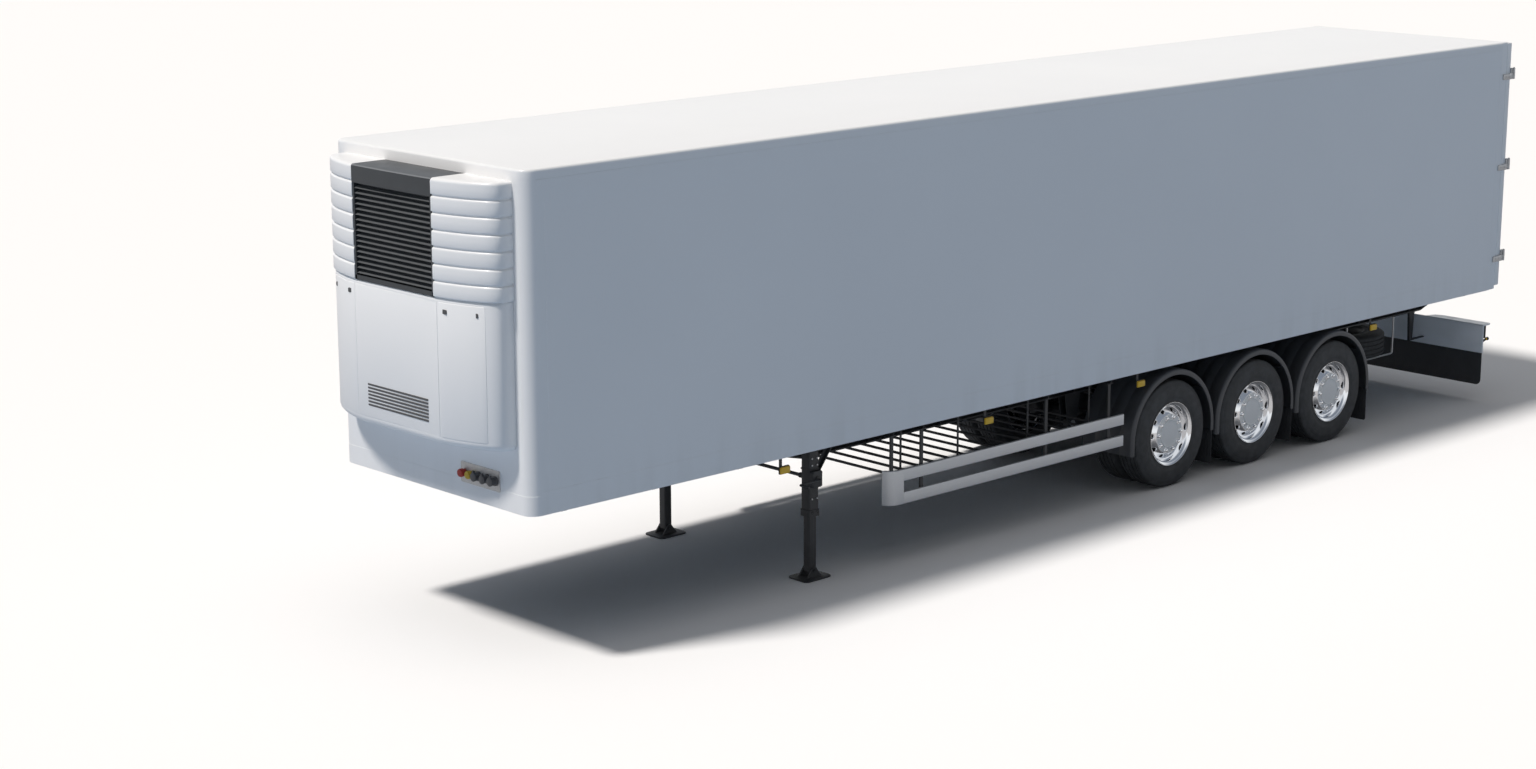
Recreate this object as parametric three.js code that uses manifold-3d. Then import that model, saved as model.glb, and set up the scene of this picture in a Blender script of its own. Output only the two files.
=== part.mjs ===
// Refrigerated box semi-trailer, parked on its landing legs.
// Millimetres. +X runs to the coupling end, +Y to the left side, +Z up.
// The origin lies on the ground under the middle of the outer box.
import * as THREE from 'three';
import { mergeVertices } from 'three/addons/utils/BufferGeometryUtils.js';
import Module from 'manifold-3d';

const wasm = await Module();
wasm.setup();

// ---- driving sizes ----
const boxWidth = 2500;
const boxLength = 13650; // front wall to the outer face of the doors
const boxHeight = 2718;
const boxBottom = 1232; // ground to the underside of the box
const wheelRadius = 532;
const tyreWidth = 270;
const twinSpacing = 295;
const firstAxleAt = boxLength - 5665; // behind the front wall
const axleSpacing = 1320;

// ---- shared fits ----
const seam = 0.3; // gap between pieces that are fixed to each other
const halfWidth = boxWidth / 2;
const boxTop = boxBottom + boxHeight;

// ---- body panels ----
const sideWall = 60;
const frontWall = 90;
const roofPanel = 80;
const roofEdge = 22;
const floorPanel = 130;
const cornerRadius = 110;
const cornerReach = 200;

// ---- rear doors ----
const doorPanel = 80;
const doorPlug = 38;
const doorGap = 8;
const doorBottomGap = 36;
const doorTopGap = 14;
const meetingGap = 20;
const edgeGap = 4;
const frameDepth = 97;
const framePost = 70;
const frameHeader = 110;
const plugGap = 15;
const hingeBack = 48; // pin behind the door face
const hingeOut = 10; // pin outside the box side
const knuckleRadius = 13;
const knuckleHeight = 60;
const knuckleGap = 0.5;
const hingeHeights = [366, boxHeight / 2 + 19, boxHeight - 349];

// ---- overall length and frame of reference ----
const unitDepth = 348;
const rearReach = hingeBack + knuckleRadius;
const frontX = (boxLength + rearReach - unitDepth) / 2;
const at = (behindFront) => frontX - behindFront;

// ---- solids ----
const identity = new THREE.Matrix4();

function solid(geometry, matrix = identity) {
  const shape = geometry.index ? geometry.toNonIndexed() : geometry.clone();
  shape.deleteAttribute('normal');
  shape.deleteAttribute('uv');
  shape.applyMatrix4(matrix);
  const merged = mergeVertices(shape, 1e-3);
  const mesh = new wasm.Mesh({
    numProp: 3,
    vertProperties: new Float32Array(merged.attributes.position.array),
    triVerts: new Uint32Array(merged.index.array),
  });
  mesh.merge();
  return new wasm.Manifold(mesh);
}

const join = (pieces) => pieces.reduce((sum, piece) => sum.add(piece));
const cut = (body, tools) => tools.reduce((left, tool) => left.subtract(tool), body);
const mirrored = (body) => body.mirror([0, 1, 0]);

// A block between two distances behind the front wall.
function block(d0, d1, y0, y1, z0, z1) {
  const shape = new THREE.BoxGeometry(d1 - d0, y1 - y0, z1 - z0);
  shape.translate(at((d0 + d1) / 2), (y0 + y1) / 2, (z0 + z1) / 2);
  return solid(shape);
}

function prism(outline, depth, matrix, holes = []) {
  const shape = new THREE.Shape(outline.map(([u, v]) => new THREE.Vector2(u, v)));
  holes.forEach((hole) => {
    shape.holes.push(new THREE.Path(hole.map(([u, v]) => new THREE.Vector2(u, v))));
  });
  return solid(new THREE.ExtrudeGeometry(shape, { depth, bevelEnabled: false }), matrix);
}

// Side outline in (behind front, height), run across the trailer.
function sideProfile(outline, y0, y1) {
  const matrix = new THREE.Matrix4().makeBasis(
    new THREE.Vector3(-1, 0, 0),
    new THREE.Vector3(0, 0, 1),
    new THREE.Vector3(0, 1, 0),
  );
  matrix.setPosition(frontX, y0, 0);
  return prism(outline, y1 - y0, matrix);
}

// Plan outline in (behind front, across), raised from z0 to z1.
function planProfile(outline, z0, z1) {
  const matrix = new THREE.Matrix4().makeBasis(
    new THREE.Vector3(-1, 0, 0),
    new THREE.Vector3(0, 1, 0),
    new THREE.Vector3(0, 0, -1),
  );
  matrix.setPosition(frontX, 0, z1);
  return prism(outline, z1 - z0, matrix);
}

// End outline in (across, height), run from d1 forward to d0.
function endProfile(outline, d0, d1, holes = []) {
  const matrix = new THREE.Matrix4().makeBasis(
    new THREE.Vector3(0, 1, 0),
    new THREE.Vector3(0, 0, 1),
    new THREE.Vector3(1, 0, 0),
  );
  matrix.setPosition(at(d1), 0, 0);
  return prism(outline, d1 - d0, matrix, holes);
}

// A turned piece. Profile rows are [radius, distance along the axis].
function turned(profile, sides, axis, place, flatBelow = false) {
  const points = profile.map(([r, t]) => new THREE.Vector2(r, t));
  const start = flatBelow ? Math.PI / sides : 0;
  const shape = new THREE.LatheGeometry(points, sides, start, 2 * Math.PI);
  if (axis === 'z') shape.rotateX(Math.PI / 2);
  if (axis === 'x') shape.rotateZ(-Math.PI / 2);
  shape.translate(...place);
  return solid(shape);
}

// A turned piece whose profile runs clockwise is turned inside out by the lathe.
function turnedRing(profile, sides, axis, place, flatBelow = false) {
  return turned([...profile, profile[0]], sides, axis, place, flatBelow);
}

function rectangle(y0, y1, z0, z1) {
  return [[y0, z0], [y1, z0], [y1, z1], [y0, z1]];
}

function arc(cu, cv, radius, from, to, steps) {
  return Array.from({ length: steps + 1 }, (_, i) => {
    const angle = THREE.MathUtils.degToRad(from + ((to - from) * i) / steps);
    return [cu + radius * Math.cos(angle), cv + radius * Math.sin(angle)];
  });
}

// ---- colours ----
const paints = {
  white: [0xf2f3f4, 0.35, 0],
  lining: [0xe4e6e6, 0.6, 0],
  black: [0x2b2d30, 0.6, 0.2],
  plastic: [0x1d1e20, 0.7, 0],
  rubber: [0x17181a, 0.9, 0],
  alloy: [0xc9ccd0, 0.25, 0.9],
  steel: [0x8f9499, 0.4, 0.8],
  guard: [0xa9acb0, 0.4, 0.8],
};

const trailer = new THREE.Group();
trailer.name = 'box_trailer';

function place(name, body, paint) {
  const mesh = body.getMesh();
  const shape = new THREE.BufferGeometry();
  shape.setAttribute('position', new THREE.BufferAttribute(new Float32Array(mesh.vertProperties), 3));
  shape.setIndex(new THREE.BufferAttribute(new Uint32Array(mesh.triVerts), 1));
  shape.computeVertexNormals();
  const [color, roughness, metalness] = paints[paint];
  const material = new THREE.MeshStandardMaterial({ color, roughness, metalness, flatShading: true });
  const piece = new THREE.Mesh(shape, material);
  piece.name = name;
  trailer.add(piece);
}

// A piece of the left side and its mirror image on the right.
function placePair(name, body, paint) {
  place(`${name}_left`, body, paint);
  place(`${name}_right`, mirrored(body), paint);
}

// ---- load box ----
const frameFrom = boxLength - doorPanel - doorGap - frameDepth;
const frameTo = frameFrom + frameDepth;
const roofUnder = boxTop - roofPanel;
const floorTop = boxBottom + floorPanel;
const innerHalf = halfWidth - sideWall;

place('floor', block(
  frontWall + seam, frameFrom - seam, -innerHalf + seam, innerHalf - seam, boxBottom, floorTop,
), 'lining');

placePair('wall', block(
  cornerReach + seam, frameFrom - seam, innerHalf, halfWidth, boxBottom, roofUnder - seam,
), 'white');

const cornerSteps = 6;
const cornerCentre = halfWidth - cornerRadius;
const leftCorner = arc(cornerRadius, cornerCentre, cornerRadius, 90, 180, cornerSteps);
const rightCorner = leftCorner.map(([d, y]) => [d, -y]).reverse();

place('wall_front', planProfile([
  [cornerReach, innerHalf],
  [cornerReach, halfWidth],
  ...leftCorner,
  ...rightCorner,
  [cornerReach, -halfWidth],
  [cornerReach, -innerHalf],
  [frontWall, -innerHalf],
  [frontWall, innerHalf],
], boxBottom, roofUnder - seam), 'white');

const roofPlan = planProfile([
  [frameFrom - seam, halfWidth],
  ...leftCorner,
  ...rightCorner,
  [frameFrom - seam, -halfWidth],
], roofUnder, boxTop);
const roofSection = endProfile([
  [-halfWidth, roofUnder],
  [halfWidth, roofUnder],
  ...arc(halfWidth - roofEdge, boxTop - roofEdge, roofEdge, 0, 90, 3),
  ...arc(-halfWidth + roofEdge, boxTop - roofEdge, roofEdge, 90, 180, 3),
], 0, frameFrom - seam);
place('roof', roofPlan.intersect(roofSection), 'white');

// ---- rear frame with hinge arms and lock keepers ----
const pinAt = boxLength + hingeBack;
const pinY = halfWidth + hingeOut;
const armThickness = 11;
const armInner = pinY + 2 - armThickness;
const postOverlap = 12;
const rodRows = [
  { name: 'inner', across: 190 },
  { name: 'outer', across: halfWidth - 460 },
];
const rodBack = 21;
const rodRadius = 14;
const keeperHeight = 24;
const keeperWidth = 60;
const keeperTo = boxLength + rodBack + rodRadius;

const openingHalf = halfWidth - framePost;
const openingTop = boxTop - frameHeader;
const framePieces = [endProfile(
  rectangle(-halfWidth, halfWidth, boxBottom, boxTop),
  frameFrom,
  frameTo,
  [rectangle(-openingHalf, openingHalf, floorTop, openingTop).reverse()],
)];
hingeHeights.forEach((height) => {
  const armTop = boxBottom + height - knuckleGap;
  const armBottom = armTop - knuckleHeight;
  const arm = block(frameFrom + 25, pinAt, armInner, pinY + 2, armBottom, armTop);
  const foot = block(frameFrom + 25, frameTo, halfWidth - postOverlap, pinY + 2, armBottom, armTop);
  const knuckle = turned(
    [[0, armBottom], [knuckleRadius, armBottom], [knuckleRadius, armTop], [0, armTop]],
    12, 'z', [at(pinAt), pinY, 0],
  );
  [arm, foot, knuckle].forEach((piece) => framePieces.push(piece, mirrored(piece)));
});
rodRows.forEach(({ across }) => {
  const keeper = block(
    frameTo - 10, keeperTo, across - keeperWidth / 2, across + keeperWidth / 2,
    boxBottom, boxBottom + keeperHeight,
  );
  framePieces.push(keeper, mirrored(keeper));
});
place('rear_frame', join(framePieces), 'white');

// ---- doors ----
const doorInner = meetingGap / 2;
const doorOuter = halfWidth - edgeGap;
const doorLow = boxBottom + doorBottomGap;
const doorHigh = boxTop - doorTopGap;
const strapLength = 190;
const strapThickness = 12;
const doorPieces = [
  block(boxLength - doorPanel, boxLength, doorInner, doorOuter, doorLow, doorHigh),
  block(
    boxLength - doorPanel - doorPlug, boxLength - doorPanel + 5,
    doorInner + plugGap, openingHalf - plugGap, floorTop + plugGap, openingTop - plugGap,
  ),
];
hingeHeights.forEach((height) => {
  const low = boxBottom + height;
  const high = low + knuckleHeight;
  doorPieces.push(
    block(boxLength - 5, boxLength + strapThickness, doorOuter - strapLength, doorOuter, low, high),
    block(boxLength - 5, pinAt, doorOuter - 16, pinY - 4, low, high),
    turned(
      [[0, low], [knuckleRadius, low], [knuckleRadius, high], [0, high]],
      12, 'z', [at(pinAt), pinY, 0],
    ),
  );
});
placePair('door', join(doorPieces), 'white');

// ---- lock rods: two per door on one handle plate ----
const rodLow = boxBottom + keeperHeight + 6;
const rodHigh = doorHigh - 30;
const guideHeights = [150, boxHeight / 2 - 9, boxHeight - 178];
const guideWidth = 76;
const guideHeight = 54;
const guideDepth = 32;
const handleHeight = 470;
const leverLength = 430;
const lockPieces = [block(
  boxLength + seam, boxLength + seam + 8,
  rodRows[0].across - 60, rodRows[1].across + 60,
  boxBottom + handleHeight - 70, boxBottom + handleHeight + 70,
)];
rodRows.forEach(({ across }) => {
  lockPieces.push(turned(
    [[0, rodLow], [rodRadius, rodLow], [rodRadius, rodHigh], [0, rodHigh]],
    8, 'z', [at(boxLength + rodBack), across, 0],
  ));
  guideHeights.forEach((height) => {
    const middle = boxBottom + height;
    lockPieces.push(block(
      boxLength + seam, boxLength + seam + guideDepth,
      across - guideWidth / 2, across + guideWidth / 2,
      middle - guideHeight / 2, middle + guideHeight / 2,
    ));
  });
  lockPieces.push(block(
    boxLength + 6, boxLength + 36, across - 24, across + 24,
    boxBottom + handleHeight - 40, boxBottom + handleHeight + 40,
  ));
  lockPieces.push(block(
    boxLength + 22, boxLength + 34, across, across + leverLength,
    boxBottom + handleHeight - 14, boxBottom + handleHeight + 14,
  ));
});
placePair('lock_rods', join(lockPieces), 'steel');

// ---- cooling unit on the front wall ----
const unitLow = boxBottom + 511;
const unitHigh = boxTop - 96;
const louvreLow = boxTop - 1027;
const cowlHalf = halfWidth - 150;
const cowlWidth = 580;
const centreHalf = cowlHalf - cowlWidth;
const louvreCount = 7;
const louvreInset = 15;
const cowlCurve = [ // in from the cowl's side, forward of the wall
  [cowlWidth, 340], [400, 309], [250, 268], [130, 220], [54, 176], [12, 128], [0, 70],
].map(([inward, forward]) => [cowlHalf - inward, forward]);
// Louvre section: fraction of one band's height, inset behind its lip.
const louvreSection = [[0, 1], [0.07, 1], [0.1, 0], [0.9, 0.25]];

function cowlOutline(inset) {
  const front = cowlCurve.map(([y, x], i) => {
    const lean = i / (cowlCurve.length - 1);
    return [-(x - inset * (1 - lean)), y - inset * lean];
  });
  front[0][1] = centreHalf + seam;
  return [[-seam, centreHalf + seam], ...front, [-seam, cowlCurve.at(-1)[0] - inset]];
}

// A stack of like outlines, each at its own height, joined by straight walls.
function loft(sections) {
  const count = sections[0].outline.length;
  const positions = sections.flatMap(({ outline, z }) => outline.flatMap(([d, y]) => [at(d), y, z]));
  const flat = sections[0].outline.map(([d, y]) => new THREE.Vector2(at(d), y));
  const turn = THREE.ShapeUtils.isClockWise(flat) ? 1 : 0;
  const index = [];
  const triangle = (a, b, c) => index.push(a, ...(turn ? [c, b] : [b, c]));
  for (let low = 0; low < (sections.length - 1) * count; low += count) {
    for (let i = 0; i < count; i += 1) {
      const next = (i + 1) % count;
      triangle(low + i, low + next, low + count + next);
      triangle(low + i, low + count + next, low + count + i);
    }
  }
  const top = (sections.length - 1) * count;
  THREE.ShapeUtils.triangulateShape(turn ? [...flat].reverse() : flat, []).forEach((corners) => {
    const [a, b, c] = corners.map((corner) => (turn ? count - 1 - corner : corner));
    index.push(top + a, top + b, top + c, a, c, b);
  });
  const shape = new THREE.BufferGeometry();
  shape.setAttribute('position', new THREE.Float32BufferAttribute(positions, 3));
  shape.setIndex(index);
  return solid(shape);
}

const bandHeight = (unitHigh - louvreLow) / louvreCount;
const louvreSections = [];
for (let band = 0; band < louvreCount; band += 1) {
  louvreSection.forEach(([fraction, inset]) => {
    louvreSections.push({
      outline: cowlOutline(louvreInset * inset),
      z: louvreLow + seam + bandHeight * (band + fraction),
    });
  });
}
louvreSections.push({ outline: cowlOutline(louvreInset * 0.25), z: unitHigh });
placePair('cooler_cowl', loft(louvreSections), 'white');

const fullCurve = cowlCurve.map(([y, x]) => [-x, y]);
place('cooler_centre', planProfile([
  [-seam, centreHalf],
  [-seam, -centreHalf],
  [-cowlCurve[0][1], -centreHalf],
  [-unitDepth, -centreHalf * 0.4],
  [-unitDepth, centreHalf * 0.4],
  [-cowlCurve[0][1], centreHalf],
], louvreLow + seam, unitHigh), 'plastic');

const lowerCurve = fullCurve.map(([d, y], i) => [d + 14, i === 0 ? y : y - 8]);
place('cooler_lower', planProfile([
  [-seam, lowerCurve.at(-1)[1]],
  [-seam, -lowerCurve.at(-1)[1]],
  ...[...lowerCurve].reverse().map(([d, y]) => [d, -y]),
  ...lowerCurve,
], unitLow, louvreLow), 'white');

// ---- wheels ----
const wheelSides = 18;
const axleHeight = wheelRadius;
const treadRadius = wheelRadius / Math.cos(Math.PI / wheelSides);
const trackHalf = halfWidth - 38; // outer plane of the wheels
const beadRadius = 286;
const flangeRadius = 316;
const pairWidth = tyreWidth + twinSpacing;
const wheelInnerY = trackHalf - pairWidth;
const halfTyre = tyreWidth / 2;
const outerTyreY = trackHalf - halfTyre;
const innerTyreY = outerTyreY - twinSpacing;
const seatHalf = halfTyre - 35;
const spindleRadius = 45;
const boreRadius = 45.9;
const boreDepth = 105;
const drumRadius = 205;
const drumInset = 20;

function tyreRing(side, middle, height) {
  const seat = beadRadius + 0.6;
  const half = [[seat, seatHalf], [330, halfTyre - 7], [450, halfTyre], [treadRadius, halfTyre - 30]];
  const profile = [...half.map(([r, t]) => [r, -t]), ...half.reverse()];
  return turnedRing(profile, wheelSides, 'y', [side, middle, height], true);
}

// Rim rows are [radius, inward from the outer plane of the wheel].
const rimFace = [
  [0, 18], [96, 18], [104, 32], [200, 32], [258, 98], [266, 98], [276, 40], [299, 14], [flangeRadius, 5],
];
const rimSeat = (shift) => [
  [flangeRadius, shift + 12],
  [beadRadius, shift + 34],
  [beadRadius, shift + tyreWidth - 34],
  [flangeRadius, shift + tyreWidth - 12],
];
const rimBack = [
  [flangeRadius, pairWidth - 5],
  [270, pairWidth - 150],
  [drumRadius, pairWidth - 150],
  [drumRadius, pairWidth - drumInset],
  [boreRadius, pairWidth - drumInset],
  [boreRadius, pairWidth - drumInset - boreDepth],
  [0, pairWidth - drumInset - boreDepth],
];
const handHoles = 10;
const handHoleRadius = 24;
const handHoleCircle = 228;

function rimBody(d) {
  const profile = [...rimFace, ...rimSeat(0), ...rimSeat(twinSpacing), ...rimBack]
    .map(([r, s]) => [r, trackHalf - s]);
  const rim = turned(profile.reverse(), wheelSides, 'y', [at(d), 0, axleHeight], true);
  const holes = Array.from({ length: handHoles }, (_, i) => {
    const angle = (2 * Math.PI * i) / handHoles;
    const x = at(d) + handHoleCircle * Math.cos(angle);
    const z = axleHeight + handHoleCircle * Math.sin(angle);
    return turned(
      [[0, trackHalf - 118], [handHoleRadius, trackHalf - 118], [handHoleRadius, trackHalf], [0, trackHalf]],
      6, 'y', [x, 0, z],
    );
  });
  return cut(rim, holes);
}

const axleRows = [1, 2, 3].map((number) => ({
  number,
  d: firstAxleAt + (number - 1) * axleSpacing,
}));

axleRows.forEach(({ number, d }) => {
  const pieces = {
    tyre_outer: [tyreRing(at(d), outerTyreY, axleHeight), 'rubber'],
    tyre_inner: [tyreRing(at(d), innerTyreY, axleHeight), 'rubber'],
    rim: [rimBody(d), 'alloy'],
  };
  Object.entries(pieces).forEach(([name, [body, paint]]) => {
    place(`${name}_left_${number}`, body, paint);
    place(`${name}_right_${number}`, mirrored(body), paint);
  });
});

// ---- fenders ----
const bearerHeight = 54.4;
const crown = boxBottom - 2 * seam - bearerHeight;
const fenderRadius = crown - axleHeight;
const fenderShell = 8;
const fenderInner = wheelInnerY - 15;
const fenderOuter = trackHalf + 24;
const fenderLip = 22;
const fenderSteps = 12;
const fenderFrontLow = 412;
const fenderRearLow = 472;
const flapLow = 120;
const flapInset = 30;

function fenderBand(d, depth, y0, y1) {
  const inside = fenderRadius - depth;
  return sideProfile([
    [d + fenderRadius, fenderRearLow],
    ...arc(d, axleHeight, fenderRadius, 0, 180, fenderSteps),
    [d - fenderRadius, fenderFrontLow],
    [d - inside, fenderFrontLow],
    ...arc(d, axleHeight, inside, 180, 0, fenderSteps),
    [d + inside, fenderRearLow],
  ], y0, y1);
}

axleRows.forEach(({ number, d }) => {
  const fender = join([
    fenderBand(d, fenderShell, fenderInner, fenderOuter),
    fenderBand(d, fenderLip, fenderOuter - 18, fenderOuter),
    block(
      d + fenderRadius - fenderShell, d + fenderRadius,
      fenderInner + flapInset, fenderOuter - flapInset, flapLow, fenderRearLow + 40,
    ),
  ]);
  place(`fender_left_${number}`, fender, 'plastic');
  place(`fender_right_${number}`, mirrored(fender), 'plastic');
});

// ---- floor bearers: cross members tied by two edge rails ----
const bearerTop = boxBottom - seam;
const bearerBottom = crown + seam;
const bearerWidth = 60;
const bearerReach = halfWidth - 45;
const legAt = 3310;
const guardFrom = legAt + 840;
const guardTo = firstAxleAt - fenderRadius - 100;
const tankAt = guardTo - 1090;
const boardAt = boxLength - 260;
const spareAt = boardAt - 990;
const tailFrom = boardAt - 190;
const lastAxleAt = firstAxleAt + 2 * axleSpacing;
const bearerFrom = 450;
const bearerPitch = 950;
const guardPosts = [guardFrom - 60, guardFrom + 322, tankAt, guardTo - 185];
const bearerRows = [
  ...[0, 1, 2].map((step) => bearerFrom + step * bearerPitch),
  legAt,
  guardPosts[0],
  guardPosts[1],
  (guardPosts[1] + tankAt) / 2,
  tankAt,
  guardPosts[3],
  ...[0, 0.5, 1, 1.5, 2].map((step) => firstAxleAt + step * axleSpacing),
  (lastAxleAt + spareAt) / 2,
  spareAt,
  tailFrom,
];
const railWidth = 40;
const bearerHalf = bearerWidth / 2;
const bearerGaps = bearerRows.slice(1).map((d, i) => block(
  bearerRows[i] + bearerHalf, d - bearerHalf, -bearerReach + railWidth, bearerReach - railWidth,
  bearerBottom - 1, bearerTop + 1,
));
place('floor_bearers', cut(block(
  bearerRows[0] - bearerHalf, bearerRows.at(-1) + bearerHalf, -bearerReach, bearerReach,
  bearerBottom, bearerTop,
), bearerGaps), 'black');

// ---- main beams ----
const beamY = wheelInnerY - 157;
const beamFlange = 140;
const beamPlate = 16;
const beamWeb = 12;
const beamTop = bearerBottom - seam;
const beamBottom = boxBottom - 292;
const neckBottom = boxBottom - 122;
const beamFrom = 300;
const beamTo = boardAt - 30;
const neckTo = 2900;
const deepFrom = 3600;
const tailBottom = boxBottom - 232;
const underLine = [
  [beamFrom, neckBottom], [neckTo, neckBottom], [deepFrom, beamBottom], [tailFrom, beamBottom],
  [beamTo, tailBottom],
];
const flangeSpan = [beamY - beamFlange / 2, beamY + beamFlange / 2];

// Suspension hangers ahead of each axle.
const hangerAhead = 700;
const armWidth = 70;
const armPivot = axleHeight + 108;
const cheek = 12;
const hangerCheeks = axleRows.flatMap(({ d }) => [1, -1].map((side) => {
  const inner = beamY + side * (armWidth / 2 + seam);
  const outer = inner + side * cheek;
  return sideProfile([
    [d - hangerAhead - 110, beamBottom + 4],
    [d - hangerAhead - 55, armPivot - 45],
    [d - hangerAhead + 55, armPivot - 45],
    [d - hangerAhead + 110, beamBottom + 4],
  ], Math.min(inner, outer), Math.max(inner, outer));
}));

// Post and arm that carry the rear lamp board.
const postFrom = boardAt - 350;
const postLow = 600;
const boardPost = sideProfile([
  [postFrom, beamBottom + 4],
  [postFrom + 50, postLow],
  [boardAt - seam, postLow],
  [boardAt - seam, postLow + 44],
  [postFrom + 130, postLow + 44],
  [postFrom + 160, beamBottom + 4],
], beamY - 18, beamY + 18);

const beam = join([
  sideProfile([[beamTo, beamTop], [beamFrom, beamTop], ...underLine], beamY - beamWeb / 2, beamY + beamWeb / 2),
  block(beamFrom, beamTo, ...flangeSpan, beamTop - beamPlate, beamTop),
  sideProfile([
    ...underLine,
    ...[...underLine].reverse().map(([d, z]) => [d, z + beamPlate]),
  ], ...flangeSpan),
  ...hangerCheeks,
  boardPost,
]);
placePair('beam', beam, 'black');

// ---- axles with trailing arms and air springs ----
const axleTube = 64;
const plateRadius = 185;
const spindleEnd = trackHalf - (pairWidth - drumInset - boreDepth) - 5;
const springAhead = -335;
const springRadius = 122;
const armTop = axleHeight + 150;
const armLow = axleHeight + axleTube;
const springSeat = armTop - 35;

axleRows.forEach(({ number, d }) => {
  const ends = [[0, 0], [axleTube, 0], [axleTube, wheelInnerY - 30], [plateRadius, wheelInnerY - 22],
    [plateRadius, wheelInnerY - 4], [spindleRadius, wheelInnerY - 4], [spindleRadius, spindleEnd],
    [0, spindleEnd]];
  const half = turned(ends, 12, 'y', [at(d), 0, axleHeight]);
  const arm = sideProfile([
    [d - hangerAhead - 45, armPivot + 40],
    [d - hangerAhead - 45, armPivot - 35],
    [d - 100, armLow - 8],
    [d + 90, armLow - 8],
    [d + 90, armLow + 20],
    [d - springAhead + 100, springSeat - 30],
    [d - springAhead + 100, springSeat],
    [d + 110, armTop],
    [d - 110, armTop],
  ], beamY - armWidth / 2, beamY + armWidth / 2);
  const saddle = block(d - 80, d + 80, beamY - 50, beamY + 50, axleHeight, armLow + 30);
  const rise = beamBottom - seam - springSeat;
  const spring = turned([
    [0, springSeat - 20], [90, springSeat - 20], [springRadius, springSeat + rise * 0.25],
    [springRadius - 20, springSeat + rise * 0.5], [springRadius, springSeat + rise * 0.75],
    [88, springSeat + rise], [0, springSeat + rise],
  ], 12, 'z', [at(d - springAhead), beamY, 0]);
  const side = join([half, arm, saddle, spring]);
  place(`axle_${number}`, side.add(mirrored(side)), 'black');
});

// ---- coupling plate and kingpin ----
const plateThickness = 10;
const plateTop = neckBottom - seam;
const plateHalf = beamY + beamFlange / 2;
const kingpinAt = 1350;
const kingpinLength = 84;
const kingpin = turned([
  [0, plateTop - 5], [80, plateTop - 5], [80, plateTop - plateThickness - 8],
  [36.5, plateTop - plateThickness - 12], [36.5, plateTop - plateThickness - 22],
  [25.4, plateTop - plateThickness - 26], [25.4, plateTop - plateThickness - 60],
  [35.7, plateTop - plateThickness - 64], [35.7, plateTop - plateThickness - kingpinLength],
  [0, plateTop - plateThickness - kingpinLength],
].reverse(), 20, 'z', [at(kingpinAt), 0, 0]);
const skid = sideProfile([
  [beamFrom + 20, plateTop], [beamFrom + 20, plateTop - 4], [beamFrom + 90, plateTop - plateThickness],
  [neckTo - 400, plateTop - plateThickness], [neckTo - 400, plateTop],
], -plateHalf, plateHalf);
place('coupling_plate', skid.add(kingpin), 'steel');

// ---- landing legs ----
const legY = halfWidth - 300;
const legTube = 110;
const legSlide = 84;
const legTubeLow = 560;
const footLength = 320;
const footWidth = 250;
const shaftHeight = boxBottom - 332;
const legTop = bearerBottom - seam;
const legHalf = legTube / 2;
const legPieces = [
  block(legAt - legHalf, legAt + legHalf, legY - legHalf, legY + legHalf, legTubeLow, legTop),
  block(legAt - 100, legAt + 100, legY - 80, legY + 80, legTop - 12, legTop),
  block(legAt - legHalf - 8, legAt + legHalf + 8, legY - legHalf - 8, legY + legHalf + 8, legTubeLow, legTubeLow + 60),
  block(
    legAt - legSlide / 2, legAt + legSlide / 2, legY - legSlide / 2, legY + legSlide / 2,
    60, legTubeLow + 10,
  ),
  block(legAt - 45, legAt + 45, legY - 60, legY + 60, 12, 90),
  planProfile([
    [legAt - footLength / 2, legY - footWidth / 2 + 40],
    [legAt - footLength / 2 + 40, legY - footWidth / 2],
    [legAt + footLength / 2 - 40, legY - footWidth / 2],
    [legAt + footLength / 2, legY - footWidth / 2 + 40],
    [legAt + footLength / 2, legY + footWidth / 2 - 40],
    [legAt + footLength / 2 - 40, legY + footWidth / 2],
    [legAt - footLength / 2 + 40, legY + footWidth / 2],
    [legAt - footLength / 2, legY + footWidth / 2 - 40],
  ], 0, 16),
  sideProfile([
    [legAt + legHalf - 4, 640], [guardPosts[0] - 10, legTop], [guardPosts[0] - 70, legTop],
    [legAt + legHalf - 4, 700],
  ], legY - 12, legY + 12),
];
const rightLeg = join(legPieces).mirror([0, 1, 0]);
const shaftEnd = legY - legHalf + 4;
const crankY = legY + legHalf;
const crankPieces = [
  turned([[0, -(legY - legHalf) + seam], [16, -(legY - legHalf) + seam], [16, shaftEnd], [0, shaftEnd]],
    10, 'y', [at(legAt), 0, shaftHeight]),
  block(legAt - 60, legAt + 60, crankY - 4, crankY + 42, shaftHeight - 75, shaftHeight + 75),
  turned([[0, crankY + 30], [12, crankY + 30], [12, crankY + 90], [0, crankY + 90]],
    8, 'y', [at(legAt), 0, shaftHeight]),
  block(legAt - 260, legAt + 15, crankY + 78, crankY + 92, shaftHeight - 14, shaftHeight + 14),
  turned([[0, crankY + 80], [14, crankY + 80], [14, crankY + 190], [0, crankY + 190]],
    8, 'y', [at(legAt - 248), 0, shaftHeight]),
];
place('landing_leg_left', join([...legPieces, ...crankPieces]), 'black');
place('landing_leg_right', rightLeg, 'black');

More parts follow.
